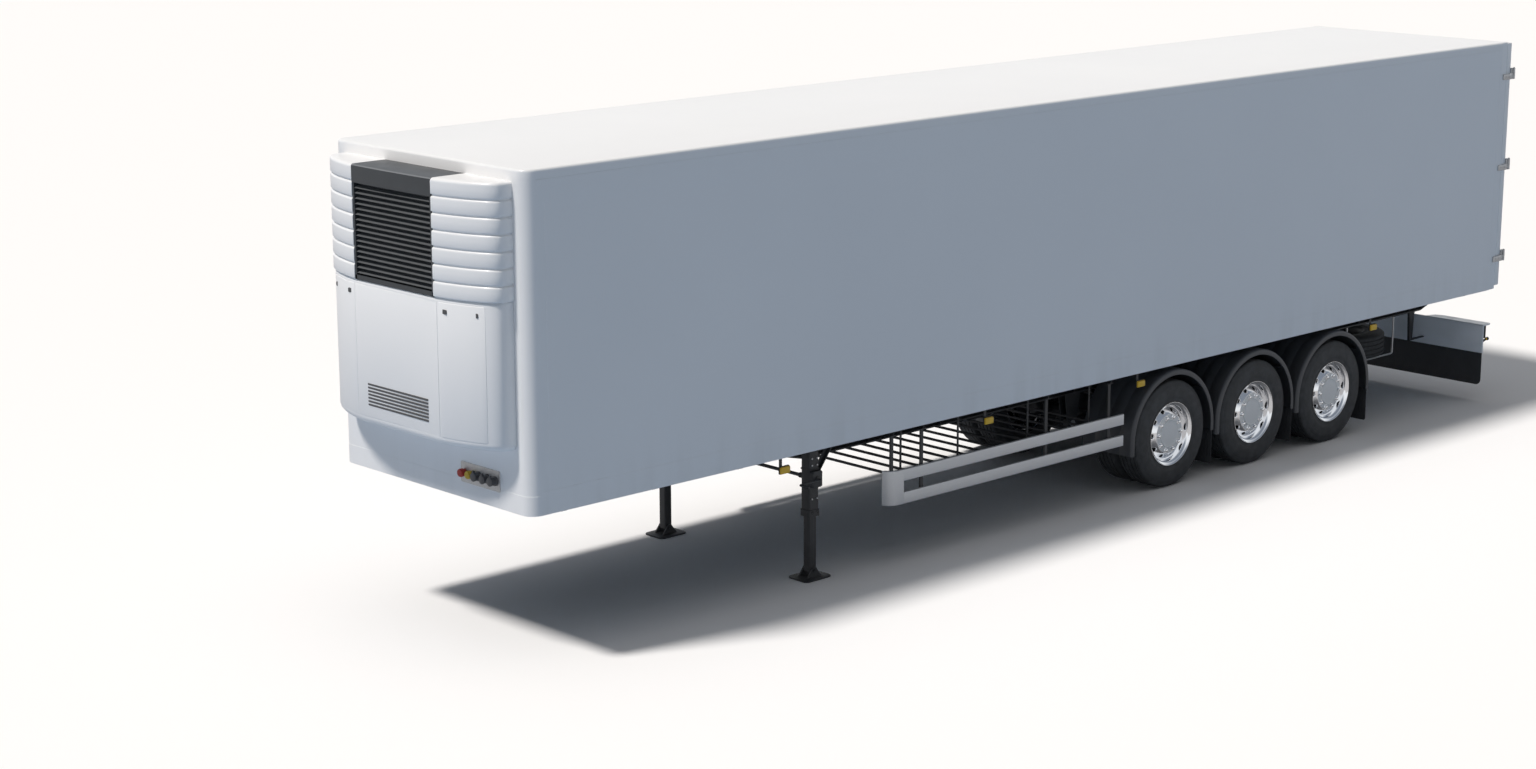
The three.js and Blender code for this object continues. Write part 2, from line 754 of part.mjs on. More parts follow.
// ---- side guards ----
const guardFace = halfWidth - 35;
const guardThick = 30;
const slotFrom = guardFrom + 60;
const guardLow = 543;
const lowRailTop = 647;
const topRailLow = 751;
const guardTop = 857;
const guardBack = guardFace - guardThick;
const postDepth = 60;
const guardPieces = [
  block(guardFrom, guardTo, guardBack, guardFace, guardLow, lowRailTop),
  block(guardFrom, guardTo, guardBack, guardFace, topRailLow, guardTop),
  planProfile([
    [slotFrom, guardFace], [guardFrom - 10, guardFace], [guardFrom - 52, guardFace - 14],
    [guardFrom - 200, guardFace - 96], [guardFrom - 200, guardFace - 126],
    [guardFrom - 40, guardBack - 14], [guardFrom - 5, guardBack], [slotFrom, guardBack],
  ], guardLow, guardTop),
  ...guardPosts.map((d, i) => block(
    d - 30 + (i === 0 ? 80 : 0), d + 30 + (i === 0 ? 80 : 0),
    guardBack - postDepth, guardBack + 1, guardLow + 20, guardTop - 20,
  )),
  ...guardPosts.map((d) => block(
    d - 30, d + 30, guardBack - postDepth, guardBack - 2, guardTop - 60, bearerBottom - seam,
  )),
  block(
    guardPosts[0] - 30, guardPosts[0] + 110, guardBack - postDepth, guardBack - 2,
    guardTop - 60, guardTop - 20,
  ),
];
placePair('side_guard', join(guardPieces), 'guard');

// ---- pallet rack: one flat grid of bars on hangers ----
const rackBar = 22;
const rackLow = boxBottom - 462;
const rackHalf = halfWidth - 150;
const rackFrom = guardFrom + 65;
const rackBars = 15;
const rackRail = 36;
const rackTo = guardTo - 225;
const rackPitch = (rackTo - rackFrom) / (rackBars - 1);
const rackGaps = Array.from({ length: rackBars - 1 }, (_, i) => {
  const d0 = rackFrom + i * rackPitch + rackBar / 2;
  const gap = block(
    d0, d0 + rackPitch - rackBar, rackRail / 2, rackHalf - rackRail, rackLow - 1, rackLow + rackBar + 1,
  );
  return [gap, mirrored(gap)];
}).flat();
const rackPieces = [cut(block(
  rackFrom - rackBar / 2, rackTo + rackBar / 2, -rackHalf, rackHalf, rackLow, rackLow + rackBar,
), rackGaps)];
bearerRows.filter((d) => d > rackFrom && d < rackTo).forEach((d) => {
  const hanger = block(
    d - 25, d + 25, rackHalf - 26, rackHalf - 14, rackLow + rackBar - 6, bearerBottom - seam,
  );
  rackPieces.push(hanger, mirrored(hanger));
});
place('pallet_rack', join(rackPieces), 'black');

// ---- air reservoir ----
const tankRadius = 123;
const tankHeight = boxBottom - 287;
const tankY = beamY - 240;
const tankHalf = 310;
const tank = turned([
  [0, -tankHalf - 40], [80, -tankHalf - 25], [tankRadius, -tankHalf], [tankRadius, tankHalf],
  [80, tankHalf + 25], [0, tankHalf + 40],
], 16, 'x', [at(tankAt), tankY, tankHeight]);
const strap = block(
  tankAt - 25, tankAt + 25, tankY - 60, tankY + 60, tankHeight + 60, bearerBottom - seam,
);
place('air_tank', tank.add(strap), 'steel');

// ---- spare wheel and its carrier ----
const spareLow = 500;
const carrierRod = 11;
const carrierY = beamY - 38;
const carrierHalf = 440;
const carrierLow = spareLow - carrierRod - seam;

const spareMiddle = spareLow + halfTyre;
const spareSeat = beadRadius + 0.6;
const spareHalfProfile = [
  [spareSeat, seatHalf], [330, halfTyre - 7], [450, halfTyre], [wheelRadius, halfTyre - 30],
];
place('spare_tyre', turnedRing(
  [...spareHalfProfile.map(([r, t]) => [r, spareMiddle - t]), ...[...spareHalfProfile].reverse()
    .map(([r, t]) => [r, spareMiddle + t])],
  wheelSides, 'z', [at(spareAt), 0, 0],
), 'rubber');

const spareBack = [
  [flangeRadius, tyreWidth - 5], [270, tyreWidth - 14], [270, 130], [0, 130],
];
const spareRim = turned(
  [...rimFace, ...rimSeat(0), ...spareBack].map(([r, s]) => [r, spareLow + s]),
  wheelSides, 'z', [at(spareAt), 0, 0],
);
place('spare_rim', spareRim, 'alloy');

const carrierPieces = [];
const carrierSpan = [spareAt - carrierHalf, spareAt + carrierHalf];
const lowBar = [carrierLow - carrierRod, carrierLow + carrierRod];
[carrierY, -carrierY].forEach((y) => {
  const across = [y - carrierRod, y + carrierRod];
  carrierPieces.push(
    block(carrierSpan[0] - carrierRod, carrierSpan[1] + carrierRod, ...across, ...lowBar),
    ...carrierSpan.map((d) => block(
      d - carrierRod, d + carrierRod, ...across, lowBar[0], beamBottom - seam,
    )),
  );
});
[spareAt - 150, spareAt + 150].forEach((d) => {
  carrierPieces.push(block(d - carrierRod, d + carrierRod, -carrierY, carrierY, ...lowBar));
});
const clampBolt = turned(
  [[0, carrierLow], [60, carrierLow], [60, spareLow + rimFace[0][1] - seam], [0, spareLow + rimFace[0][1] - seam]],
  10, 'z', [at(spareAt), 0, 0],
);
const clampBar = block(spareAt - 150, spareAt + 150, -30, 30, carrierLow - 8, carrierLow + 8);
place('spare_carrier', join([...carrierPieces, clampBolt, clampBar]), 'steel');

// ---- rear lamp board and mud curtain ----
const boardLow = 530;
const boardHigh = 845;
const boardPlate = 20;
const boardHalf = halfWidth;
const boardHood = 160;
const hoodFrom = beamY + 30;
const boardPieces = [
  block(boardAt, boardAt + boardPlate, -boardHalf, boardHalf, boardLow, boardHigh),
];
const hood = block(boardAt, boardAt + boardHood, hoodFrom, boardHalf, boardHigh - 14, boardHigh + 4);
boardPieces.push(hood, mirrored(hood));
place('lamp_board', join(boardPieces), 'guard');

const curtainHalf = boardHalf - 14;
const curtainLow = 165;
const curtainRadius = 60;
place('mud_curtain', endProfile([
  [-curtainHalf, boardLow + 60],
  ...arc(-curtainHalf + curtainRadius, curtainLow + curtainRadius, curtainRadius, 180, 270, 4),
  ...arc(curtainHalf - curtainRadius, curtainLow + curtainRadius, curtainRadius, 270, 360, 4),
  [curtainHalf, boardLow + 60],
], boardAt + boardPlate + seam, boardAt + boardPlate + seam + 8), 'rubber');

export default trailer;
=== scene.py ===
from math import atan2, copysign, cos, hypot, pi, radians, sin

import bmesh
import bpy
from mathutils import Matrix, Vector


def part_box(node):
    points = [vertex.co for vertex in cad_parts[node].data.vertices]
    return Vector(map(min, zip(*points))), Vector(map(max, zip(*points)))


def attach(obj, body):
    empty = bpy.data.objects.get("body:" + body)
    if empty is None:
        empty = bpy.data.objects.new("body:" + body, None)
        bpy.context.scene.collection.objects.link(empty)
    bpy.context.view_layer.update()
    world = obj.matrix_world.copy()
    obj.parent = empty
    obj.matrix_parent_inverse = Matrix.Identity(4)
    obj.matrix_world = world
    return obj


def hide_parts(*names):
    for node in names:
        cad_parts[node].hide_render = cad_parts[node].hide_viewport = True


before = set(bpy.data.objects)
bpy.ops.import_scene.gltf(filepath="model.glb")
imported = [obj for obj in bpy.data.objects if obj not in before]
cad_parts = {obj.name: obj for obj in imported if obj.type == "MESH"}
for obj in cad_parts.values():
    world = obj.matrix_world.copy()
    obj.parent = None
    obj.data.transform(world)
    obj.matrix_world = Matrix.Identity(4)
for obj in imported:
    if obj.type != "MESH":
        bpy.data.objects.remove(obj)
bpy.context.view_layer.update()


# A socket whose sums and products add their own Math nodes.
class Wire:
    def __init__(self, graph, socket):
        self.graph = graph
        self.socket = socket

    def __add__(self, other):
        return self.graph.maths("ADD", self, other)

    def __rsub__(self, other):
        return self.graph.maths("SUBTRACT", other, self)

    def __mul__(self, other):
        return self.graph.maths("MULTIPLY", self, other)

    __radd__ = __add__
    __rmul__ = __mul__


class Graph:
    def __init__(self, tree):
        self.tree = tree
        tree.nodes.clear()

    # Settings come first, because an operation changes which sockets a node has.
    def make(self, kind, settings=None, inputs=None, output=0):
        node = self.tree.nodes.new(kind)
        for key, value in (settings or {}).items():
            setattr(node, key, value)
        for key, value in (inputs or {}).items():
            if isinstance(value, Wire):
                self.tree.links.new(value.socket, node.inputs[key])
            else:
                node.inputs[key].default_value = value
        return Wire(self, node.outputs[output]) if len(node.outputs) else node

    def maths(self, operation, first, second=0.0):
        return self.make("ShaderNodeMath", {"operation": operation}, {0: first, 1: second})

    # A colour is written as three parts, and gets its alpha here.
    def mix(self, factor, first, second):
        first, second = [(*color, 1) if isinstance(color, tuple) else color for color in (first, second)]
        inputs = {"Factor": factor, "A": first, "B": second}
        return self.make("ShaderNodeMix", {"data_type": "RGBA"}, inputs, "Result")

    def band(self, value, low, high):
        settings = {"interpolation_type": "SMOOTHSTEP"}
        return self.make("ShaderNodeMapRange", settings, {"Value": value, 1: low, 2: high})

    def noise(self, vector, scale, detail=3.0, stretch=(1, 1, 1)):
        placed = self.make("ShaderNodeMapping", None, {"Vector": vector, "Scale": stretch})
        return self.make("ShaderNodeTexNoise", None, {"Vector": placed, "Scale": scale, "Detail": detail})

    def cells(self, vector, scale, output="Distance"):
        return self.make("ShaderNodeTexVoronoi", None, {"Vector": vector, "Scale": scale}, output)

    def pingPong(self, value):
        return self.maths("PINGPONG", value, 1.0)

    def axes(self, vector):
        first = self.make("ShaderNodeSeparateXYZ", None, {"Vector": vector})
        outputs = first.socket.node.outputs
        return [Wire(self, outputs[i]) for i in range(3)]

    def texture(self, kind):
        return self.make("ShaderNodeTexCoord", None, None, kind)

    def normal(self):
        return self.axes(self.make("ShaderNodeNewGeometry", None, None, "Normal"))

    def rays(self, kind):
        node = next((n for n in self.tree.nodes if n.type == "LIGHT_PATH"), None)
        node = node or self.tree.nodes.new("ShaderNodeLightPath")
        return Wire(self, node.outputs[kind])


# Every finish ends here: varying values are wires, plain ones are set on the shader itself.
def finish(name, build):
    material = bpy.data.materials.new(name)
    material.use_nodes = True
    graph = Graph(material.node_tree)
    values = build(graph, graph.texture("Object"))
    if "bump" in values:
        height, distance, strength = values.pop("bump")
        inputs = {"Height": height, "Distance": distance, "Strength": strength}
        values["Normal"] = graph.make("ShaderNodeBump", None, inputs)
    shader = graph.make("ShaderNodeBsdfPrincipled", None, values)
    graph.make("ShaderNodeOutputMaterial", None, {"Surface": shader})
    return material


print("helpers ready")


# A paint that wavers between two tones, with a film over it where a mask lets it through. Its roughness
# is one value, or a least value and what the noise adds to it.
def paint(noise, tones, band=None, metallic=0.0, rough=(0.5,), bump=None, film=None):
    def build(graph, place):
        patch = graph.noise(place, *noise)
        color = graph.mix(graph.band(patch, *band) if band else patch, *tones)
        if film:
            mask, tone = film
            color = graph.mix(mask(graph, place, patch), color, tone)
        roughness = rough[0] + rough[1] * patch if len(rough) > 1 else rough[0]
        values = {"Base Color": color, "Metallic": metallic, "Roughness": roughness}
        if bump:
            kind, scale, *depth = bump
            height = {"patch": lambda: patch, "cells": lambda: graph.cells(place, scale),
                      "grain": lambda: graph.noise(place, scale, 2.0)}[kind]()
            values["bump"] = (height, *depth)
        return values

    return build


# Dust settles on what faces up.
def dustMask(graph, place, patch):
    return graph.band(graph.normal()[2], 0.2, 0.95) * graph.band(patch, 0.35, 0.7) * 0.5


# Painted highlight: where the hood's edge faces both up and ahead it is painted pale, standing in for the
# bright line the light draws along it.
def paintedHighlightMask(graph, place, patch):
    normal = graph.normal()
    return graph.band(normal[2], 0.3, 0.6) * graph.band(normal[0], 0.3, 0.6)


# Splashes dry pale on the lower part of a flap.
def splashMask(graph, place, patch):
    streak = graph.noise(place, 9.0, 4.0, (1, 1, 0.4))
    return graph.band(graph.axes(place)[2], 0.5, 0.1) * graph.band(streak, 0.45, 0.75) * 0.35


def panelPaint(graph, place):
    broad = graph.noise(place, 0.45, 2.0)
    streak = graph.noise(place, 2.2, 4.0, (2.6, 2.6, 0.16))
    film = graph.band(graph.axes(place)[2], 1.75, 1.2) * graph.band(streak, 0.42, 0.72)
    color = graph.mix(graph.band(broad, 0.3, 0.7), (0.875, 0.88, 0.885), (0.90, 0.903, 0.905))
    wave = graph.noise(place, 1.1, 1.0, (1, 1, 0.5))
    return {
        "Base Color": graph.mix(film * 0.16, color, (0.60, 0.585, 0.55)),
        "Roughness": 0.27 + 0.10 * graph.noise(place, 5.0, 3.0) + 0.12 * film,
        "Coat Weight": 0.25,
        "Coat Roughness": 0.12,
        "bump": (0.04 * graph.noise(place, 260.0, 1.0) + wave, 0.006, 0.35),
    }


# The tyre's own map runs round the tread (u) and out from its middle (v), both in metres.
def tyreRubber(graph, place):
    around, across = graph.axes(graph.texture("UV"))[:2]
    out = graph.maths("ABSOLUTE", across)
    sipe = graph.pingPong(around * 28.0 + 2.5 * graph.maths("SINE", out * 60.0))
    onTread = graph.band(out, 0.15, 0.146)
    dust = graph.noise(place, 11.0, 6.0)
    color = graph.mix(graph.band(dust, 0.3, 0.75), (0.040, 0.040, 0.040), (0.072, 0.071, 0.070))
    # Painted shade: the sipes across the tread are painted near black, as the shade inside the slits.
    color = graph.mix(onTread * graph.band(sipe, 0.14, 0.02) * 0.9, color, (0.008, 0.008, 0.008))
    height = 0.35 * graph.pingPong(out * 90.0) * (1 - onTread) + onTread * graph.band(sipe, 0.02, 0.2)
    height = height + 0.5 * graph.noise(place, 240.0, 3.0)
    return {"Base Color": color, "Roughness": 0.66 + 0.18 * dust, "bump": (height, 0.0018, 0.55)}


# Turned metal: the fine lines run round the wheel, so they're stretched along u.
def polishedAlloy(graph, place):
    lines = graph.noise(graph.texture("UV"), 300.0, 3.0, (0.02, 1, 1))
    haze = graph.noise(place, 18.0, 4.0)
    color = graph.mix(haze, (0.80, 0.81, 0.83), (0.90, 0.91, 0.925))
    bump = (lines, 0.0004, 0.3)
    return {"Base Color": color, "Metallic": 1.0, "Roughness": 0.045 + 0.09 * haze, "bump": bump}


def zincSteel(graph, place):
    tone = graph.make("ShaderNodeRGBToBW", None, {"Color": graph.cells(place, 85.0, "Color")})
    dull = graph.noise(place, 5.0, 4.0)
    color = graph.mix(tone * 0.6 + dull * 0.4, (0.34, 0.35, 0.36), (0.56, 0.57, 0.585))
    bump = (dull, 0.0006, 0.3)
    return {"Base Color": color, "Metallic": 0.75, "Roughness": 0.30 + 0.25 * tone, "bump": bump}


def satinAlloy(graph, place):
    draw = graph.noise(place, 120.0, 3.0, (0.02, 1, 1))
    dull = graph.noise(place, 2.5, 4.0)
    color = graph.mix(0.5 * draw + 0.5 * dull, (0.56, 0.56, 0.565), (0.70, 0.70, 0.70))
    bump = (draw, 0.0005, 0.25)
    return {"Base Color": color, "Metallic": 0.45, "Roughness": 0.36 + 0.18 * dull, "bump": bump}


def darker(color, share):
    return tuple(part * share for part in color)


def lens(color):
    def build(graph, place):
        x, z = graph.axes(place)[::2]
        rib = graph.pingPong(x * 180.0) + graph.pingPong(z * 180.0)
        ribbed = graph.mix(graph.band(rib, 0.2, 1.6), darker(color, 0.84), color)
        return {"Base Color": ribbed, "Roughness": 0.3, "Coat Weight": 0.15, "bump": (rib, 0.0008, 0.5)}

    return build


def couplingPaint(color):
    tones = (darker(color, 0.8), color)
    return paint((14.0, 4.0), tones, rough=(0.45, 0.15), bump=("grain", 220.0, 0.0004, 0.3))


# Each look: its material's name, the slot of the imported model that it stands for, and how it is built.
looks = {
    "panel": ("panel paint", "white_panel", panelPaint),
    "lining": ("lining panel", "lining", paint(
        (3.0, 5.0, (0.5, 1, 3)), ((0.66, 0.67, 0.67), (0.75, 0.755, 0.755)), (0.35, 0.7), rough=(0.5, 0.2),
        bump=("cells", 160.0, 0.0008, 0.5))),
    "floorMetal": ("floor aluminium", "lining", paint(
        (4.0, 5.0, (0.4, 3, 1)), ((0.50, 0.51, 0.52), (0.68, 0.69, 0.70)), (0.3, 0.75), 0.3, (0.35, 0.25))),
    "frame": ("frame paint", "black_frame", paint(
        (6.0, 6.0), ((0.022, 0.023, 0.025), (0.038, 0.039, 0.041)), (0.3, 0.75), rough=(0.42, 0.22),
        bump=("grain", 140.0, 0.0008, 0.35), film=(dustMask, (0.10, 0.095, 0.088)))),
    "plastic": ("fender plastic", "black_plastic", paint(
        (3.5, 4.0), ((0.056, 0.057, 0.060), (0.078, 0.079, 0.083)), rough=(0.36, 0.16),
        bump=("cells", 420.0, 0.0004, 0.5))),
    # The hood's film is a painted highlight along its front edge.
    "hood": ("hood plastic", "black_plastic", paint(
        (5.0, 4.0), ((0.028, 0.033, 0.038), (0.042, 0.048, 0.054)), rough=(0.30, 0.12),
        bump=("grain", 380.0, 0.0003, 0.4), film=(paintedHighlightMask, (0.19, 0.20, 0.21)))),
    "board": ("board paint", "guard_alloy", paint(
        (3.0, 5.0, (1, 1, 2)), ((0.87, 0.87, 0.87), (0.81, 0.81, 0.80)), (0.35, 0.75), rough=(0.35, 0.15),
        bump=("grain", 200.0, 0.0003, 0.3))),
    "flap": ("flap rubber", "mud_rubber", paint(
        (4.0, 5.0), ((0.034, 0.035, 0.037), (0.054, 0.055, 0.057)), rough=(0.72,),
        bump=("grain", 320.0, 0.0006, 0.4), film=(splashMask, (0.075, 0.07, 0.064)))),
    "tyre": ("tyre rubber", "tyre_rubber", tyreRubber),
    "alloy": ("polished alloy", "polished_alloy", polishedAlloy),
    "chrome": ("chrome plate", "polished_alloy", paint(
        (60.0, 3.0), ((0.86, 0.87, 0.885), (0.93, 0.935, 0.945)), metallic=1.0, rough=(0.05, 0.08))),
    "cap": ("hub cap metal", "polished_alloy", paint(
        (420.0, 2.0), ((0.74, 0.73, 0.71), (0.94, 0.93, 0.91)), metallic=0.2, bump=("patch", 0, 0.0004, 0.3))),
    "zinc": ("galvanised steel", "plain_steel", zincSteel),
    "satin": ("satin alloy", "guard_alloy", satinAlloy),
    "amber": ("amber lens", "black_plastic", lens((1.0, 0.58, 0.02))),
    "red": ("red lens", "black_plastic", lens((0.45, 0.012, 0.012))),
    "clear": ("clear lens", "black_plastic", lens((0.72, 0.73, 0.75))),
    "gasket": ("gasket rubber", "mud_rubber", paint(
        (12.0, 4.0), ((0.014, 0.0145, 0.016), (0.030, 0.031, 0.033)), rough=(0.58, 0.2),
        bump=("patch", 0, 0.0005, 0.3))),
    "redCoupling": ("red coupling paint", "plain_steel", couplingPaint((0.42, 0.03, 0.02))),
    "yellowCoupling": ("yellow coupling paint", "plain_steel", couplingPaint((0.62, 0.42, 0.03))),
}
finishes = {look: finish(name, build) for look, (name, slot, build) in looks.items()}
print("finishes ready:", len(finishes))


# Joins rings of points into a skin. Each ring has the same number of points.
def addLoft(bm, rings, closed=True, capped=True, looped=False, mapping=None):
    uv = bm.loops.layers.uv.verify()
    made = [[bm.verts.new(point) for point in ring] for ring in rings]
    count = len(made[0])
    for i in range(len(made) if looped else len(made) - 1):
        near, far = made[i], made[(i + 1) % len(made)]
        for j in range(count if closed else count - 1):
            k = (j + 1) % count
            face = bm.faces.new((near[j], near[k], far[k], far[j]))
            if mapping:
                us, vs = mapping
                corners = ((us[i], vs[j]), (us[i], vs[j + 1]), (us[i + 1], vs[j + 1]), (us[i + 1], vs[j]))
                for loop, corner in zip(face.loops, corners):
                    loop[uv].uv = corner
    if capped and closed and not looped:
        bm.faces.new(made[0][::-1])
        bm.faces.new(made[-1])


# Distance along the rows, counted from the middle one.
def lengths(rows):
    total = [0.0]
    for (r0, t0), (r1, t1) in zip(rows, rows[1:]):
        total.append(total[-1] + hypot(r1 - r0, t1 - t0))
    return [value - total[len(rows) // 2] for value in total]


# Turns rows of (radius, along) about Y, or about Z when upright, round a centre.
def addTurned(bm, rows, steps, centre=(0, 0, 0), upright=False, closedRows=False):
    rows = rows + rows[:1] if closedRows else rows
    rings = []
    for a in circle(steps):
        c, s = cos(a), sin(a)
        ring = [(r * c, r * s, t) if upright else (r * c, t, r * s) for r, t in rows]
        rings.append([Vector(point) + Vector(centre) for point in ring])
    widest = max(r for r, t in rows)
    around = [2 * pi * widest * i / steps for i in range(steps + 1)]
    addLoft(bm, rings, closed=False, capped=False, looped=True, mapping=(around, lengths(rows)))


def angles(whole, steps):
    return [whole * i / steps for i in range(steps + 1)]


def circle(steps):
    return angles(2 * pi, steps)[:-1]


# Rounds an edge by a quarter turn, as pairs of (inset, drop).
def quarterRound(radius, steps):
    return [(radius * (1 - cos(a)), radius * (1 - sin(a))) for a in angles(pi / 2, steps)]


# The two stretches that lie from near to far on either side of a place.
def bothSides(place, near, far):
    return (place - far, place - near), (place + near, place + far)


# Turns rows of (radius, x) about a line along X.
def addLathe(bm, rows, y, z, steps):
    addLoft(bm, [[(x, y + r * cos(a), z + r * sin(a)) for a in circle(steps)] for r, x in rows])


def addBox(bm, low, high):
    (x0, y0, z0), (x1, y1, z1) = low, high
    addLoft(bm, [[(x, y0, z0), (x, y1, z0), (x, y1, z1), (x, y0, z1)] for x in (x0, x1)])


def onAxis(axis, u, v, t):
    return {"x": (t, u, v), "y": (u, t, v), "z": (u, v, t)}[axis]


# Runs a flat outline of (u, v) along one axis. The axis letter says which way it runs.
def addExtrusion(bm, outline, axis, start, stop):
    addLoft(bm, [[onAxis(axis, u, v, t) for u, v in outline] for t in (start, stop)])


# Copies of an outline along an axis, by rows of (place, inset). A sheared one is drawn in towards its
# middle in proportion, and any other by the same amount all round.
def stack(outline, axis, rows, sheared=False):
    ends = [(min(values), max(values)) for values in zip(*outline)]

    def moved(value, low, high, inset):
        off = value - (low + high) / 2
        return value - inset * (off * 2 / (high - low) if sheared else copysign(1, off))

    rings = []
    for t, inset in rows:
        shrunk = [[moved(value, *end, inset) for value, end in zip(point, ends)] for point in outline]
        rings.append([onAxis(axis, *point, t) for point in shrunk])
    return rings


def addStack(bm, outline, axis, rows, sheared=False):
    addLoft(bm, stack(outline, axis, rows, sheared))


# A round bar along straight legs, with each bend turned by its own short arc.
def addTube(bm, points, radius, sides=10, bend=0.0, steps=5):
    points = [Vector(point) for point in points]
    path = [points[0]]
    for before, corner, after in zip(points, points[1:], points[2:]):
        back = corner + (before - corner).normalized() * bend
        ahead = corner + (after - corner).normalized() * bend
        for i in range(steps + 1):
            t = i / steps
            path.append(back * (1 - t) ** 2 + corner * 2 * t * (1 - t) + ahead * t * t)
    path.append(points[-1])
    normal = None
    rings = []
    for i, point in enumerate(path):
        into = (point - path[i - 1]).normalized() if i else (path[1] - point).normalized()
        out = (path[i + 1] - point).normalized() if i + 1 < len(path) else into
        along = (into + out).normalized()
        normal = normal or along.orthogonal().normalized()
        normal = (normal - along * normal.dot(along)).normalized()
        other = along.cross(normal)
        stretch = 1 / max(0.5, along.dot(into))
        rings.append([point + (normal * cos(a) + other * sin(a)) * radius * stretch for a in circle(sides)])
    addLoft(bm, rings)


# A straight pin or bolt along an axis, through (u, v) on the other two.
def addPin(bm, u, v, axis, start, stop, radius, sides=6):
    addTube(bm, [onAxis(axis, u, v, start), onAxis(axis, u, v, stop)], radius, sides)


def arcPoints(cu, cv, radius, start, stop, steps):
    turn = [radians(start + (stop - start) * i / steps) for i in range(steps + 1)]
    return [(cu + radius * cos(a), cv + radius * sin(a)) for a in turn]


# A rectangle with rounded corners, as (u, v) points.
def roundedOutline(u0, u1, v0, v1, radius, steps=4):
    corners = [(u1 - radius, v1 - radius, 0), (u0 + radius, v1 - radius, 90),
               (u0 + radius, v0 + radius, 180), (u1 - radius, v0 + radius, 270)]
    return [point for u, v, a in corners for point in arcPoints(u, v, radius, a, a + 90, steps)]


# The same from its centre and half sizes.
def roundedPad(u, v, halfU, halfV, radius, steps=4):
    return roundedOutline(u - halfU, u + halfU, v - halfV, v + halfV, radius, steps)


# A plate with rounded corners: by its sides here, and by its centre and half sizes below.
def addPlate(bm, u0, u1, v0, v1, radius, axis, start, stop, steps=4):
    addExtrusion(bm, roundedOutline(u0, u1, v0, v1, radius, steps), axis, start, stop)


def addPad(bm, u, v, halfU, halfV, radius, axis, start, stop, steps=4):
    addExtrusion(bm, roundedPad(u, v, halfU, halfV, radius, steps), axis, start, stop)


# Rows of (place, inset) that ease both edges alike, from one end to the other.
def easedRows(start, stop, *easing):
    way = 1 if stop > start else -1
    first = [(start + way * depth, inset) for depth, inset in easing]
    return first + [(stop - way * depth, inset) for depth, inset in easing[::-1]]


# A clean mesh out of a bmesh, which is then done with.
def toMesh(name, bm):
    bmesh.ops.remove_doubles(bm, verts=bm.verts, dist=2e-6)
    bmesh.ops.recalc_face_normals(bm, faces=bm.faces)
    mesh = bpy.data.meshes.new(name)
    bm.to_mesh(mesh)
    bm.free()
    return mesh


def link(name, data):
    obj = bpy.data.objects.new(name, data)
    bpy.context.scene.collection.objects.link(obj)
    return obj


# Turns a finished bmesh into a piece that rides on its body.
def piece(name, bm, look, body, replaced=(), smooth=38, bevel=0.0):
    mesh = toMesh(name, bm)
    for polygon in mesh.polygons:
        polygon.use_smooth = True
    mesh.set_sharp_from_angle(angle=radians(smooth))
    mesh.materials.append(finishes[look])
    obj = link(name, mesh)
    if bevel > 0:
        edge = obj.modifiers.new("edges", "BEVEL")
        edge.width = bevel
        edge.segments = 2
        edge.limit_method = "ANGLE"
        edge.harden_normals = True
    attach(obj, body)
    if replaced:
        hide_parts(*replaced)


def single(name, build, look, replaced=(), **options):
    bm = bmesh.new()
    build(bm)
    piece(name, bm, look, "trailer", replaced, **options)


# One side's piece: the right one mirrors the left one. Its name and those it replaces end alike.
def sidePiece(side, name, build, look, body="trailer", replaced=(), ending="", **options):
    bm = bmesh.new()
    build(bm)
    if side == "right":
        bmesh.ops.scale(bm, vec=(1, -1, 1), verts=bm.verts)
    target = body if body == "trailer" else f"{body}_{side}"
    nodes = [f"{node}_{side}{ending}" for node in replaced]
    piece(f"{name}_{side}{ending}", bm, look, target, nodes, **options)


def piecePair(*settings, **options):
    for side in ("left", "right"):
        sidePiece(side, *settings, **options)


# Repeats: one small piece set out along a line or round a circle.
def repeatTree(name, sizes, settle):
    tree = bpy.data.node_groups.new(name, "GeometryNodeTree")
    graph = Graph(tree)
    for label, kind in (("Geometry", "Geometry"), *sizes, ("Material", "Material")):
        tree.interface.new_socket(label, in_out="INPUT", socket_type="NodeSocket" + kind)
    tree.interface.new_socket("Geometry", in_out="OUTPUT", socket_type="NodeSocketGeometry")
    group = tree.nodes.new("NodeGroupInput")
    source = {item.name: Wire(graph, item) for item in group.outputs if item.name}
    inputs = {"Instance": source["Geometry"], **settle(graph, source)}
    spread = graph.make("GeometryNodeInstanceOnPoints", None, inputs)
    real = graph.make("GeometryNodeRealizeInstances", None, {"Geometry": spread})
    painted = graph.make("GeometryNodeSetMaterial", None, {"Geometry": real, "Material": source["Material"]})
    graph.make("NodeGroupOutput", None, {"Geometry": painted})
    return tree


def settleOnLine(graph, source):
    inputs = {"Count": source["Count"], "Offset": source["Step"]}
    return {"Points": graph.make("GeometryNodeMeshLine", {"mode": "OFFSET"}, inputs)}


def settleOnCircle(graph, source):
    inputs = {"Count": source["Count"], "Offset": (0, 0, 0)}
    points = graph.make("GeometryNodeMeshLine", {"mode": "OFFSET"}, inputs)
    inputs = {0: source["Turn"], "Scale": graph.make("GeometryNodeInputIndex")}
    turn = graph.make("ShaderNodeVectorMath", {"operation": "SCALE"}, inputs)
    return {"Points": points, "Rotation": turn}


alongLine = repeatTree("set out along a line", [("Count", "Int"), ("Step", "Vector")], settleOnLine)
roundCircle = repeatTree("set out round a circle", [("Count", "Int"), ("Turn", "Vector")], settleOnCircle)


